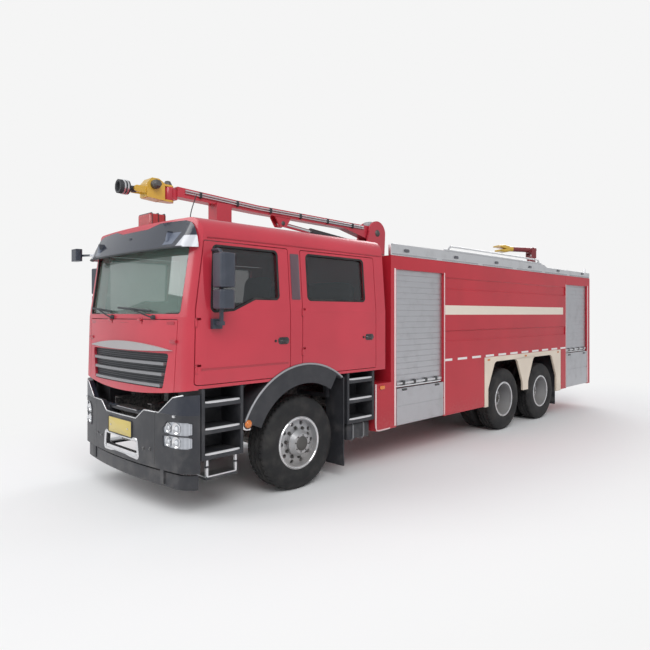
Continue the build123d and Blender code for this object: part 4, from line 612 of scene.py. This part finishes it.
for w in wheelSet:
    rubberRings = [tyreShape(w["x"], w["y"] - twinPitch * k, w["wide"]) for k in range(w["twins"])]
    nuts = boltRing(w["x"], w["disc"], axleZ, w["ring"], 10, 0.016, 0.034, 1)
    nuts += boltRing(w["x"], w["cap"] - 0.001, axleZ, 0.094, 8, 0.007, 0.012, 1)
    nuts.append(lathe(hubProfile, (w["x"], w["cap"], axleZ), (0, 1, 0)))
    lipLine = np.stack([w["x"] + lipX, np.full(64, w["lip"]), lipZ], -1)
    lip = tube(lipLine, 0.009, 8, closed=True, straight=True, up=(0, 1, 0))
    bothSides(w["node"] + "_tread", rubberRings, w["body"], "rubber", w["node"])
    bothSides(w["node"] + "_nuts", nuts, w["body"], "castIron")
    bothSides(w["node"] + "_lip", [lip], w["body"], "chromeTrim")
    if w["twins"] == 1:
        # a five-lobed cover: its radius swells five times in a turn
        lobe = 0.118 + 0.022 * np.cos(5 * angle)
        onDisc = lambda p, d: np.stack([w["x"] + p[:, 0], np.full(len(p), w["disc"]) + 0.001 + d, axleZ + p[:, 1]], -1)
        star = np.stack([lobe * np.cos(angle), lobe * np.sin(angle)], -1)
        bothSides("hubStar", [panel(star, onDisc, 0.008)], w["body"], "glossBlack")
print("wheels dressed")


# Cab front: wing lines, seals, wipers, plate and bumper trims
screenLoop = roundLoop([(-1.045, 1.99), (-1.06, 2.71), (1.06, 2.71), (1.045, 1.99)], 0.04)
screenLine = np.column_stack([cabFront(screenLoop[:, 0], screenLoop[:, 1]) - 0.012, screenLoop])
addPiece("screenSeal", [tube(screenLine, (0.013, 0.012), 8, closed=True, straight=True, up=(1, 0, 0))], "rubber")
wipers = []
for foot, tip in ((0.62, -0.16), (-0.28, -1.0)):
    mid = (foot + tip) / 2
    arm = [frontAt(foot, 1.955, 0.03), frontAt(foot - 0.12, 1.985, 0.045), frontAt(mid, 2.035, 0.035)]
    blade = [frontAt(foot - 0.06, 2.02, 0.012), frontAt(mid, 2.04, 0.014), frontAt(tip, 2.06, 0.012)]
    wipers += [tube(arm, (0.011, 0.007), 8), tube(blade, (0.007, 0.012), 8)]
    wipers.append(lathe([(0, -0.03), (0.022, -0.03), (0.024, 0.02), (0.016, 0.034), (0, 0.036)],
                        frontAt(foot, 1.955), (1, 0, 0.1), 20))
addPiece("wipers", wipers, "blackPlastic")
# a strip of darker red across the front below the windscreen: painted shade along the ledge
ledge = panel(rect((-0.97, 0.97), (1.885, 1.915), 0.012), onFront(0.001), 0.004)
addPiece("hoodLedge", [ledge], "redDeep", "hood")
# grips in the darker red: their darkening is painted shade
grips = [softBox(frontAt(y, 1.72, 0.006), (0.012, 0.055, 0.016)) for y in (-0.96, 0.96)]
addPiece("hoodGrips", grips, "redDeep", "hood")

notch = [(0.352, 0.911), (0.505, 1.013), (0.765, 1.013), (0.99, 1.178), (1.12, 1.205)]
notch = [(-y, z) for y, z in reversed(notch)] + notch
notchLine = np.array([bumperAt(y, z, -0.004) for y, z in notch])
part = np.linspace(0, 1, 7)[:-1, None]
legs = [start + (end - start) * part for start, end in zip(notchLine, notchLine[1:])]
dense = np.concatenate(legs + [notchLine[-1:]])
dense[:, 0] = bumperFront(dense[:, 1]) - 0.004
addPiece("bumperEdge", [tube(dense, (0.007, 0.006), 8, straight=True, up=(1, 0, 0))], "brightAlu")
mouthLoop = roundLoop([(-0.40, 0.503), (-0.372, 0.687), (0.372, 0.687), (0.40, 0.503)], 0.03, 8)
addPiece("mouthFrame", [bumperLoop(mouthLoop, -0.004, (0.02, 0.012), 10)], "brightAlu")
mouthStep = panel(rect((-0.36, 0.36), (0.515, 0.55), 0.012), onBumper(-0.05), 0.05)
addPiece("mouthStep", [mouthStep], "brightAlu")
plateBack = panel(rect((-0.27, 0.27), (0.70, 0.862), 0.014), onBumper(0.001), 0.008)
addPiece("plateBlank", [plateBack], "plateYellow")
plateRim = rect((-0.276, 0.276), (0.694, 0.868), 0.016)
addPiece("plateFrame", [bumperLoop(plateRim, 0.006, 0.006, 6)], "blackPlastic")
boltHead = [(0, 0.006), (0.006, 0.005), (0.009, 0), (0, -0.002)]
plateBolts = [lathe(boltHead, (4.939, y, 0.78), (1, 0, 0), 12) for y in (-0.2, 0.2)]
addPiece("plateBolts", plateBolts, "chromeTrim")
rims, bowls, spots = [], [], []
for low, high, cut in ((0.69, 0.806, 0), (0.818, 0.945, 1)):
    corners = [(0.85, low), (1.19, low), (1.19, high), (0.91 if cut else 0.838, high)]
    corners += [(0.838, high - 0.07)] if cut else []
    rims.append(bumperLoop(roundLoop(corners, 0.018), 0.001, (0.009, 0.007), 8))
    for y, r in ((0.925, 0.044), (1.045, 0.05)):
        place, look = bumperAt(y, (low + high) / 2), (1, 0.25 * (y > 1), 0)
        bowl = [(0, -0.012), (r * 0.5, -0.01), (r * 0.85, -0.004), (r, 0.002), (r * 1.1, 0.002), (r * 1.1, -0.004)]
        spot = [(0, 0.004), (r * 0.3, 0.003), (r * 0.42, -0.002), (r * 0.42, -0.012), (0, -0.012)]
        bowls.append(lathe(bowl, place, look, 32))
        spots.append(lathe(spot, place, look, 24))
addPiece("lampRims", pairOf(rims), "blackPlastic")
addPiece("lampBowls", pairOf(bowls), "chromeTrim")
addPiece("lampSpots", pairOf(spots), "lampGlow")
seams = [panel(rect((y - 0.003, y + 0.003), (0.47, 1.0), 0.002, 3), onBumper(0.0), 0.0015) for y in (-0.70, 0.70)]
seams += [panel(rect((0.71, 1.22), (1.008, 1.016), 0.003, 3), onBumper(0.0), 0.002)]
seams += [mirrorY(seams[-1])]
addPiece("bumperSeams", seams, "glossBlack")
stud = [(0, 0.01), (0.012, 0.008), (0.02, 0.001), (0.02, -0.004), (0, -0.004)]
studPlaces = ((0.50, 0.62), (-0.50, 0.62), (0.62, 0.63), (-0.62, 0.63))
studs = [lathe(stud, bumperAt(y, z), (1, 0, 0), 20) for y, z in studPlaces]
addPiece("bumperStuds", studs, "glossBlack")
# small bright metal nubs at the gloss corner pieces: a painted highlight standing for a glint on them
glintNubs = pairOf([softBox(bumperAt(1.02, 1.0, 0.004), (0.012, 0.018, 0.012))])
addPiece("lampWashers", glintNubs, "brightAlu")
addPiece("noseTread", [softBox((4.836, 0.0, 0.9715), (0.028, 0.24, 0.0055), 0.15)], "brightAlu")
noseSide = softBox((4.833, 0.47, 0.9715), (0.028, 0.2, 0.0045), 0.15)
addPiece("noseTreadSides", pairOf([noseSide]), "greySlate")
print("nose dressed")


# Visor and roof: a black tube along the visor's lower edge, antenna, beacon ribs
visorY = np.linspace(-1.12, 1.12, 41)
visorArc = cabArcs["bow"] - np.sqrt(cabArcs["bow"] ** 2 - visorY ** 2)
visorCorner = 0.17 - np.sqrt(np.maximum(0.17 ** 2 - np.maximum(np.abs(visorY) - 1.0, 0) ** 2, 0))
visorLine = np.stack([4.887 - visorArc - visorCorner, visorY, np.full(41, 2.642)], -1)
addPiece("visorFrame", [tube(visorLine, (0.014, 0.011), 8, straight=True)], "blackPlastic")
whip = tube([(4.55, 0.78, 2.93), (4.54, 0.79, 3.05), (4.50, 0.82, 3.22)], 0.005, 6)
whipFoot = [(0, 0.03), (0.012, 0.028), (0.022, 0.0), (0.024, -0.02), (0, -0.02)]
addPiece("antenna", [whip, lathe(whipFoot, (4.55, 0.78, 2.945), (0, 0, 1), 20)], "blackPlastic")
hoop = [(-0.152, 2.955), (-0.152, 3.098), (-0.145, 3.103), (0.145, 3.103), (0.152, 3.098), (0.152, 2.955)]
beaconRibs = [tube([(x, *p) for p in hoop], (0.006, 0.004), 6, straight=True, up=(1, 0, 0))
              for x in (4.49, 4.565, 4.64)]
addPiece("beaconRibs", beaconRibs, "blackPlastic")


# Cab sides: seals, pillar strips, handles, mirrors
windowSet = {
    "front": {"body": "door_front", "handle": (3.69, 1.70),
              "loop": [(4.59, 2.01), (4.535, 2.668), (3.745, 2.668), (3.745, 2.148), (4.06, 2.148), (4.33, 2.03)]},
    "rear": {"body": "door_rear", "handle": (2.30, 1.70),
             "loop": [(3.325, 2.148), (3.325, 2.668), (2.375, 2.668), (2.375, 2.148)]},
}
lockProfile = [(0, 0.012), (0.012, 0.011), (0.015, 0.004), (0.015, -0.002), (0, -0.002)]
for key, w in windowSet.items():
    loop = roundLoop(w["loop"], 0.045, 7)
    line = np.stack([loop[:, 0], cabSide(loop[:, 1]) - 0.004, loop[:, 1]], -1)
    seal = tube(line, (0.013, 0.01), 8, closed=True, straight=True, up=(0, 1, 0))
    hx, hz = w["handle"]
    cup = panel(rect((hx - 0.075, hx + 0.075), (hz - 0.038, hz + 0.038), 0.03, 6), onSide(-0.002), 0.006)
    bow = [(hx + dx, y, hz) for dx, y in ((-0.062, 1.247), (-0.045, 1.268), (0.03, 1.27), (0.062, 1.247))]
    lock = lathe(lockProfile, (hx + 0.11, 1.246, hz), (0, 1, 0), 20)
    bothSides(key + "WindowSeal", [seal], w["body"], "rubber")
    bothSides(key + "Handle", [cup, tube(bow, (0.009, 0.014), 10), lock], w["body"], "glossBlack")
strip = panel(rect((3.44, 3.565), (2.15, 2.66), 0.01), onSide(0.0005), 0.005)
addPiece("pillarStrips", pairOf([strip]), "smokeBrown")
# a thin strip of darker red on the front door: a painted shade line at the press line
press = panel(rect((3.62, 4.70), (1.445, 1.465), 0.008), onSide(0.0), 0.003)
bothSides("doorPress", [press], "door_front", "redDeep")


def onMirror(p, d):
    # the mirror's rear face, toed in a little
    return np.stack([4.4535 + (p[:, 0] - 1.295) * 0.112 - d, p[:, 0], p[:, 1]], -1)


mirrorFaces = []
for low, high, reach in ((2.245, 2.575, 0.265), (2.04, 2.225, 0.255)):
    face = rect((1.335, 1.245 + reach - 0.055), (low + 0.03, high - 0.03), 0.03, 6)
    mirrorFaces.append(panel(face, onMirror, 0.004))
bothSides("mirrorGlass", mirrorFaces, "door_front", "mirrorGlass")
# drip rails: real rails, coloured with the darker red as painted shade
dripY = cabSide(2.77) + 0.005
drip = [(4.60, cabSide(2.765) + 0.004, 2.742), (4.3, dripY, 2.748), (3.2, dripY, 2.748), (2.02, dripY, 2.744)]
addPiece("dripRails", pairOf([tube(drip, (0.008, 0.006), 8)]), "redDeep")
print("cab dressed")


# Steps, fenders and skirts
stepSet = [
    {"x": (4.25, 4.65), "heights": (0.62, 0.865, 1.125)},
    {"x": (2.24, 2.65), "heights": (0.69, 0.935, 1.18)},
]
bars, plates = [], []
for s in stepSet:
    mid, half = (s["x"][0] + s["x"][1]) / 2, (s["x"][1] - s["x"][0]) / 2
    bars += [softBox((mid, 1.226, z + 0.004), (half, 0.013, 0.016), 0.3) for z in s["heights"]]
    plates += [softBox((mid, 1.08, z + 0.003), (half - 0.01, 0.13, 0.005), 0.12) for z in s["heights"]]
bars.append(softBox((4.45, 1.135, 0.404), (0.185, 0.082, 0.008), 0.15))
bars += [tube([(x, 1.2, 0.575), (x, 1.203, 0.50), (x, 1.2, 0.405)], 0.019, 10) for x in (4.285, 4.615)]
addPiece("stepBars", pairOf(bars), "brightAlu")
addPiece("stepPlates", pairOf(plates), "blackPlastic")
sweepAngle = np.radians(np.linspace(24, 128, 40))
bead = np.stack([3.36 + 0.916 * np.cos(sweepAngle), np.full(40, 1.253), 0.51 + 0.916 * np.sin(sweepAngle)], -1)
addPiece("fenderBeads", pairOf([tube(bead, 0.011, 8, straight=True, up=(0, 1, 0))]), "greyTrim")
lampDome = [(0, 0.03), (0.025, 0.027), (0.04, 0.014), (0.044, 0.0), (0, 0.0)]
addPiece("fenderLamps", pairOf([lathe(lampDome, (4.165, 1.256, 0.86), (0, 1, 0), 28)]), "lampAmber")
lampCup = [(0, 0.004), (0.052, 0.004), (0.055, -0.004), (0, -0.004)]
addPiece("fenderLampCups", pairOf([lathe(lampCup, (4.165, 1.257, 0.86), (0, 1, 0), 28)]), "blackPlastic")
lipLine = [(x, 1.243, z) for x, z in ((1.90, 0.486), (2.13, 0.486), (2.172, 0.53), (2.174, 0.8), (2.174, 1.085))]
addPiece("skirtLips", pairOf([tube(lipLine, 0.011, 8, up=(0, 1, 0))]), "edgeTape")
sideMarks = [softBox((2.06, 1.256, 1.035), (0.045, 0.009, 0.024), 0.35)]
sideMarks += [softBox((x, 1.254, 1.235), (0.035, 0.008, 0.014), 0.4) for x in (-0.62, -1.91, -3.28)]
addPiece("sideMarkers", pairOf(sideMarks), "lampAmber")
boxes = [softBox((2.44, 1.02, 0.53), (0.21, 0.17, 0.1), 0.16)]
addPiece("batteryBoxes", pairOf(boxes), "blackPlastic")
bend = [(0.99, 0.634), (1.17, 0.634), (1.193, 0.61), (1.193, 0.45), (1.17, 0.427), (0.9, 0.427)]
strap = [tube([(x, *p) for p in bend], (0.018, 0.004), 6, straight=True, up=(1, 0, 0)) for x in (2.36, 2.55)]
addPiece("boxStraps", pairOf(strap), "greyTrim")


def bottle(x, y, z, radius):
    # a tank with domed ends: a profile turned about X
    end = [(0, 0), (radius * 0.6, 0.012), (radius * 0.92, 0.04), (radius, 0.075)]
    length = x[1] - x[0]
    return lathe(end + [(r, length - o) for r, o in reversed(end)], (x[0], y, z), (1, 0, 0), 32)


airTanks = [bottle((2.22, 2.68), y, z, 0.085) for y in (0.62, -0.62) for z in (0.90, 0.69)]
addPiece("airTanks", airTanks, "frameGrey")
addPiece("propShaft", [tube([(2.90, 0, 0.80), (1.0, 0, 0.685), (-1.0, 0, 0.565)], 0.052, 20),
                       tube([(-1.42, 0, 0.55), (-2.4, 0, 0.55)], 0.045, 18)], "castIron")
pipe = [tube([(2.86, -0.25, 0.9), (2.6, -0.36, 0.66), (2.2, -0.5, 0.62), (1.5, -0.5, 0.62)], 0.05, 14),
        bottle((0.75, 1.75), -0.52 + 0.27, 0.6, 0.12)]
addPiece("exhaust", pipe, "castIron")
print("underside dressed")


# Body: shutters, edging, lamps, rails
shutterSet = [
    {"x": (0.665, 1.77), "sill": 1.0, "strips": ((0.637, 0.659), (1.777, 1.812))},
    {"x": (-4.76, -3.665), "sill": 1.2, "strips": ((-4.802, -4.768), (-3.661, -3.644))},
]
rails, brackets, tapes, lips = [], [], [], []
for s in shutterSet:
    mid, half = (s["x"][0] + s["x"][1]) / 2, (s["x"][1] - s["x"][0]) / 2
    z = s["sill"] + 0.052
    rails.append(softBox((mid, 1.228, z), (half - 0.03, 0.013, 0.016), 0.35))
    brackets += [softBox((mid + k * (half - 0.11), 1.23, z), (0.03, 0.014, 0.032), 0.3)
                 for k in (-0.85, -0.3, 0.3, 0.85)]
    lips.append(softBox((mid, 1.216, s["sill"] + 0.012), (half - 0.004, 0.012, 0.012), 0.3))
    tapes += [panel(rect(x, (0.5, 2.6), 0.004, 3), onBody(0.0004), 0.002) for x in s["strips"]]
tailRail = softBox((-4.892, 0, 1.2725), (0.013, 0.585, 0.016), 0.35)
addPiece("shutterRails", pairOf(rails) + [tailRail], "brightAlu")
addPiece("shutterBrackets", pairOf(brackets), "glossBlack")
addPiece("shutterLips", pairOf(lips), "chromeTrim")
addPiece("edgeTapes", pairOf(tapes), "edgeTape")
knobs = {"front": (1.215, 0.965, "step_front"), "rear": (-4.21, 1.15, "step_rear")}
for key, (x, z, body) in knobs.items():
    catch = [softBox((x + dx, 1.254, z), (0.05, 0.008, 0.014), 0.35) for dx in (-0.38, 0.38)]
    bothSides(key + "FlapCatches", catch, body, "glossBlack")
parapet = [softBox((x, 1.254, 2.85), (0.055, 0.011, 0.024), 0.5) for x in np.linspace(1.55, -4.5, 6)]
addPiece("parapetLamps", pairOf(parapet), "lampSmoke")
rimBand = [softBox((x, 1.2535, 2.79), (0.5, 0.005, 0.01), 0.2) for x in np.linspace(1.35, -4.35, 6)]
addPiece("parapetBand", pairOf(rimBand), "greyTrim")
railY = 1.222
railLine = [(0.5, 2.962), (0.45, 3.0), (0.3, 3.008), (-1.0, 3.008), (-2.3, 3.008), (-2.45, 3.0), (-2.5, 2.962)]
handRails = [tube([(x, railY, z) for x, z in railLine], 0.014, 10)]
handRails += [tube([(x, railY, z) for z in (2.955, 2.985, 3.005)], 0.011, 8) for x in (-0.2, -0.9, -1.6)]
addPiece("roofRails", pairOf(handRails), "brightAlu")
addPiece("rearStepTread", [softBox((-4.925, 0, 0.663), (0.022, 1.19, 0.005), 0.12)], "treadAlu")
tailDome = [(0, 0.022), (0.035, 0.02), (0.05, 0.008), (0.052, 0.0), (0, 0.0)]
addPiece("tailMarkers", pairOf([lathe(tailDome, (-4.9, 0.95, 2.68), (-1, 0, 0), 28)]), "lampRed")
grabs = pairOf([tube([(-4.9, 0.665, 1.35), (-4.93, 0.665, 1.4), (-4.93, 0.665, 2.2), (-4.9, 0.665, 2.25)], 0.014, 10)])
addPiece("tailGrabs", grabs, "brightAlu")
print("body dressed")


# Boom: pipes with clamps, root cover, motors, bolts
beamTop = lambda x: 3.374 + np.clip((x - 1.22) / 1.95, 0, 1) * 0.026 + np.clip((x - 3.17) / 1.12, 0, 1) * 0.057
pipeX = np.linspace(1.15, 4.2, 24)
lines = [tube(np.stack([pipeX, np.full(24, y), beamTop(pipeX) - dz], -1), 0.011, 8, straight=True)
         for y, dz in ((0.082, 0.03), (0.082, 0.058), (-0.082, 0.03))]
clampX = np.linspace(1.4, 4.0, 6)
clamps = [softBox((x, 0.08, float(beamTop(x)) - 0.044), (0.016, 0.02, 0.036), 0.3) for x in clampX]
clamps += [softBox((x, -0.08, float(beamTop(x)) - 0.03), (0.016, 0.02, 0.02), 0.3) for x in clampX]
addPiece("boomPipes", lines, "brightAlu", "boom")
addPiece("boomClamps", clamps, "blackPlastic", "boom")
addPiece("boomCover", [softBox((0.87, 0, 3.40), (0.14, 0.08, 0.055), 0.45)], "greyTrim", "boom")


def endCaps(profile, x, y, z, sides):
    # the same turned cap on both ends of a cross pin
    return [lathe(profile, (x, s * y, z), (0, s, 0), sides) for s in (-1, 1)]


caps = endCaps([(0, 0.022), (0.03, 0.02), (0.05, 0.008), (0.055, 0.0), (0, 0.0)], 0.87, 0.122, 3.27, 28)
caps += endCaps([(0, 0.014), (0.02, 0.012), (0.034, 0.0), (0, 0.0)], 1.05, 0.122, 3.05, 24)
ringAngle = np.arange(14) * 2 * math.pi / 14
nut = [(0, 0), (0.016, 0), (0.016, 0.004), (0.0115, 0.005), (0.0115, 0.015), (0.008, 0.019), (0, 0.019)]
caps += [lathe(nut, (0.87 + 0.188 * math.cos(a), 0.188 * math.sin(a), 2.9245), (0, 0, 1), flat=6) for a in ringAngle]
addPiece("turretCaps", caps, "castIron", "turret")
eyeCaps = endCaps([(0, 0.01), (0.02, 0.008), (0.032, 0.0), (0, 0.0)], 2.73, 0.062, 3.215, 24)
addPiece("ramPinCaps", eyeCaps, "castIron", "boom")
motorSide = [(0, 0.0), (0.05, 0.0), (0.05, 0.05), (0.038, 0.056), (0.038, 0.09), (0.03, 0.1), (0, 0.1)]
motorTop = [(0, 0), (0.045, 0), (0.045, 0.02), (0.03, 0.05), (0.02, 0.054), (0, 0.054)]
motor = endCaps(motorSide, 4.575, 0.083, 3.43, 28) + [lathe(motorTop, (4.375, 0, 3.461), (0, 0, 1), 28)]
addPiece("monitorMotors", motor, "castIron", "monitor")
collar = [(0.0, -0.012), (0.066, -0.012), (0.08, -0.008), (0.08, 0.008), (0.066, 0.012), (0, 0.012)]
addPiece("nozzleCollars", [lathe(collar, (x, 0, 3.365), (1, 0, 0), 36) for x in (4.866, 4.9)], "brightAlu", "nozzle")
restLoop = rect((3.55, 3.81), (-0.141, 0.141), 0.01, 4)
restLine = np.column_stack([restLoop, np.full(len(restLoop), 3.104)])
addPiece("restTrim", [tube(restLine, (0.006, 0.008), 8, closed=True, straight=True)], "brightAlu")

deckSet = {"x": -4.64, "yaw": -28.0, "wheelZ": 3.16, "wheelRadius": 0.09, "spoke": 0.088}
wheelZ, spoke = deckSet["wheelZ"], deckSet["spoke"]
turn = np.linspace(0, 2 * math.pi, 40, endpoint=False)
wheelRing = np.stack([np.zeros(40), deckSet["wheelRadius"] * np.cos(turn), deckSet["wheelRadius"] * np.sin(turn)], -1)
hand = [tube(wheelRing + (-0.14, 0, wheelZ), 0.009, 8, closed=True, straight=True, up=(1, 0, 0))]
hand += [tube([(x, 0, wheelZ) for x in (-0.09, -0.12, -0.142)], 0.014, 10)]
for a in (0.5, 0.5 + math.pi / 2):
    dy, dz = spoke * math.cos(a), spoke * math.sin(a)
    spokeLine = [(-0.14, dy, wheelZ + dz), (-0.141, 0, wheelZ), (-0.14, -dy, wheelZ - dz)]
    hand.append(tube(spokeLine, 0.006, 6, up=(1, 0, 0)))
flange = [(0.0, -0.02), (0.112, -0.02), (0.12, -0.014), (0.12, 0.014), (0.112, 0.02), (0, 0.02)]
hand += [lathe(flange, (0, 0, 2.995), (0, 0, 1), 40)]
foot = (deckSet["x"], 0, 0)
hand = [turned((s[0] + foot, s[1]), (0, 0, 1), deckSet["yaw"], foot) for s in hand]
addPiece("deckHandwheel", hand, "castIron", "deck_swivel")
print("boom and deck dressed")


# Seats: stuffed pads on plain bases, and the dash's hood
seatSet = [
    {"name": "driverPads", "front": 4.15, "y": 0.62, "half": 0.26, "base": 0.12, "replaced": ("seats",)},
    {"name": "matePads", "front": 4.15, "y": -0.62, "half": 0.26, "base": 0.12, "replaced": ()},
    {"name": "benchPads", "front": 2.83, "y": 0.0, "half": 0.95, "base": 0.95, "replaced": ()},
]


def puffed(obj, cap):
    # pressure swells the skin for twenty frames, and no point moves further than the cap
    scene = bpy.context.scene
    remesh = obj.modifiers.new("even", "REMESH")
    remesh.mode, remesh.voxel_size = "VOXEL", 0.016
    deps = bpy.context.evaluated_depsgraph_get()
    obj.data = bpy.data.meshes.new_from_object(obj.evaluated_get(deps))
    obj.modifiers.clear()
    count = len(obj.data.vertices)
    start, end = np.empty(count * 3), np.empty(count * 3)
    obj.data.vertices.foreach_get("co", start)
    cloth = obj.modifiers.new("swell", "CLOTH")
    cloth.settings.use_pressure = True
    cloth.settings.uniform_pressure_force = 4.0
    cloth.settings.effector_weights.gravity = 0.0
    cloth.settings.quality = 4
    cloth.point_cache.frame_start, cloth.point_cache.frame_end = 1, 20
    for k in range(1, 21):
        scene.frame_set(k)
    obj.evaluated_get(bpy.context.evaluated_depsgraph_get()).to_mesh().vertices.foreach_get("co", end)
    obj.modifiers.clear()
    scene.frame_set(1)
    move = (end - start).reshape(-1, 3)
    far = np.linalg.norm(move, axis=1, keepdims=True)
    move *= np.minimum(1.0, cap / np.maximum(far, 1e-9))
    obj.data.vertices.foreach_set("co", (start.reshape(-1, 3) + np.nan_to_num(move)).ravel())
    obj.data.polygons.foreach_set("use_smooth", np.ones(len(obj.data.polygons), bool))
    fine = obj.modifiers.new("fine", "SUBSURF")
    fine.levels = fine.render_levels = 1


baseShapes = []
for s in seatSet:
    f, y, h = s["front"], s["y"], s["half"]
    cushion = softBox((f - 0.26, y, 1.688), (0.245, h - 0.015, 0.062), 0.3, 40)
    back = turned(softBox((f - 0.50, y, 2.11), (0.045, h - 0.02, 0.34), 0.3, 40), (0, 1, 0), -7.9, (f - 0.46, y, 1.74))
    pads = addPiece(s["name"], [cushion, back], "seatCloth", replaced=s["replaced"])
    puffed(pads, 0.016)
    baseShapes.append(softBox((f - 0.25, y, 1.476), (0.22, s["base"] - 0.004, 0.145), 0.12))
addPiece("seatBases", baseShapes, "cabTrim")
hood = [softBox((4.36, 0.56, 1.965), (0.09, 0.24, 0.04), 0.4), softBox((4.37, -0.1, 1.955), (0.06, 0.2, 0.025), 0.4)]
addPiece("dashHood", hood, "cabTrim")
print("seats padded")

# bevel width: the CAD nodes that get it
softEdges = {
    0.004: "frame_rails front_flap_left front_flap_right rear_flap_left rear_flap_right",
    0.005: "boom_rest arch_panels boom_turret boom_nozzle",
    0.006: "lockers tank_body deck_monitor_base deck_monitor_barrel cab_steps axles",
    0.008: "rear_ladder boom_arm dashboard",
    0.01: "roof_coaming",
    0.012: "boom_monitor",
    0.02: "red_lamps engine_block",
}
for width, names in softEdges.items():
    for name in names.split():
        weld = nodes[name].modifiers.new("weld", "WELD")
        weld.merge_threshold = 0.00001
        edge = nodes[name].modifiers.new("edge", "BEVEL")
        edge.width, edge.segments, edge.limit_method, edge.angle_limit = width, 2, "ANGLE", math.radians(50)
        edge.use_clamp_overlap = True


stageSet = {"floorSize": 90.0, "floorTone": (0.88, 0.88, 0.88), "backTone": (0.913, 0.913, 0.913),
            "sky": (0.95, 0.97, 1.0), "skyStrength": 0.62}


def addFloor():
    # a flat grid at ground level that passes into the background tone away from the truck
    h = stageSet["floorSize"] / 2
    mesh = bpy.data.meshes.new("floor")
    mesh.from_pydata([(-h, -h, 0), (h, -h, 0), (h, h, 0), (-h, h, 0)], [], [(0, 1, 2, 3)])
    floor = bpy.data.objects.new("floor", mesh)
    bpy.context.scene.collection.objects.link(floor)
    f = Finish("floorPaper", roughness=0.9, specularIORLevel=0.1)
    grain = f.noise(1.5, 2.0)
    f.set("baseColor", f.mix(grain, toned(stageSet["floorTone"], 0.985), stageSet["floorTone"]))
    x, y, z = f.axes()
    away = ((x / 6.2) ** 2 + (y / 3.4) ** 2) ** 0.5
    rays = f.tree.nodes.new("ShaderNodeLightPath")
    glow = f.tree.nodes.new("ShaderNodeEmission")
    glow.inputs[0].default_value = (*stageSet["backTone"], 1)
    blendNode = f.tree.nodes.new("ShaderNodeMixShader")
    f.put(blendNode.inputs[0], f.ramp(away, 0.75, 1.7) * Val(f, rays.outputs["Is Camera Ray"]))
    f.tree.links.new(f.shader.outputs[0], blendNode.inputs[1])
    f.tree.links.new(glow.outputs[0], blendNode.inputs[2])
    f.tree.links.new(blendNode.outputs[0], f.out.inputs[0])
    mesh.materials.append(f.mat)


def addWorld():
    # the light of a pale room; what the camera sees straight on is the even backdrop
    world = bpy.data.worlds.new("studio")
    world.use_nodes = True
    tree = world.node_tree
    back = tree.nodes["Background"]
    back.inputs[0].default_value = (*stageSet["sky"], 1)
    back.inputs[1].default_value = stageSet["skyStrength"]
    drop = tree.nodes.new("ShaderNodeBackground")
    drop.inputs[0].default_value = (*stageSet["backTone"], 1)
    rays = tree.nodes.new("ShaderNodeLightPath")
    seen = tree.nodes.new("ShaderNodeMath")
    seen.operation = "MAXIMUM"
    tree.links.new(rays.outputs["Is Camera Ray"], seen.inputs[0])
    tree.links.new(rays.outputs["Is Transmission Ray"], seen.inputs[1])
    pick = tree.nodes.new("ShaderNodeMixShader")
    tree.links.new(seen.outputs[0], pick.inputs[0])
    tree.links.new(back.outputs[0], pick.inputs[1])
    tree.links.new(drop.outputs[0], pick.inputs[2])
    tree.links.new(pick.outputs[0], tree.nodes["World Output"].inputs[0])
    bpy.context.scene.world = world


def addLight(name, place, aim, size, power, colour=(1, 1, 1)):
    data = bpy.data.lights.new(name, "AREA")
    data.shape, data.size, data.energy, data.color = "SQUARE", size, power, colour
    lamp = bpy.data.objects.new(name, data)
    lamp.location = place
    line = np.array(aim, float) - np.array(place, float)
    yaw, pitch = math.atan2(line[1], line[0]), math.atan2(math.hypot(line[0], line[1]), -line[2])
    lamp.rotation_euler = (pitch, 0, yaw - math.pi / 2)
    bpy.context.scene.collection.objects.link(lamp)


cameraSet = {"place": (7.66, 6.10, 1.99), "heading": (-0.736, -0.677), "focal": 570.1, "middle": (365.0, 314.0),
             "frame": 650.0}


def addCamera():
    # focal length and image centre in pixels of the square frame, turned into lens and shift
    data = bpy.data.cameras.new("camera")
    data.sensor_width = 36.0
    data.lens = 36.0 * cameraSet["focal"] / cameraSet["frame"]
    data.shift_x = 0.5 - cameraSet["middle"][0] / cameraSet["frame"]
    data.shift_y = cameraSet["middle"][1] / cameraSet["frame"] - 0.5
    camera = bpy.data.objects.new("camera", data)
    camera.location = cameraSet["place"]
    camera.rotation_euler = (math.pi / 2, 0, math.atan2(cameraSet["heading"][1], cameraSet["heading"][0]) - math.pi / 2)
    bpy.context.scene.collection.objects.link(camera)
    bpy.context.scene.camera = camera


addFloor()
addWorld()
addCamera()
addLight("keyLight", (9, 12, 12), (0, 0, 1.5), 9, 1250)
addLight("fillLight", (14, -6, 9), (1, 0, 1.5), 9, 750)
addLight("backLight", (-12, -4, 10), (0, 0, 1.5), 8, 600)
bpy.context.scene.view_settings.view_transform = "Standard"
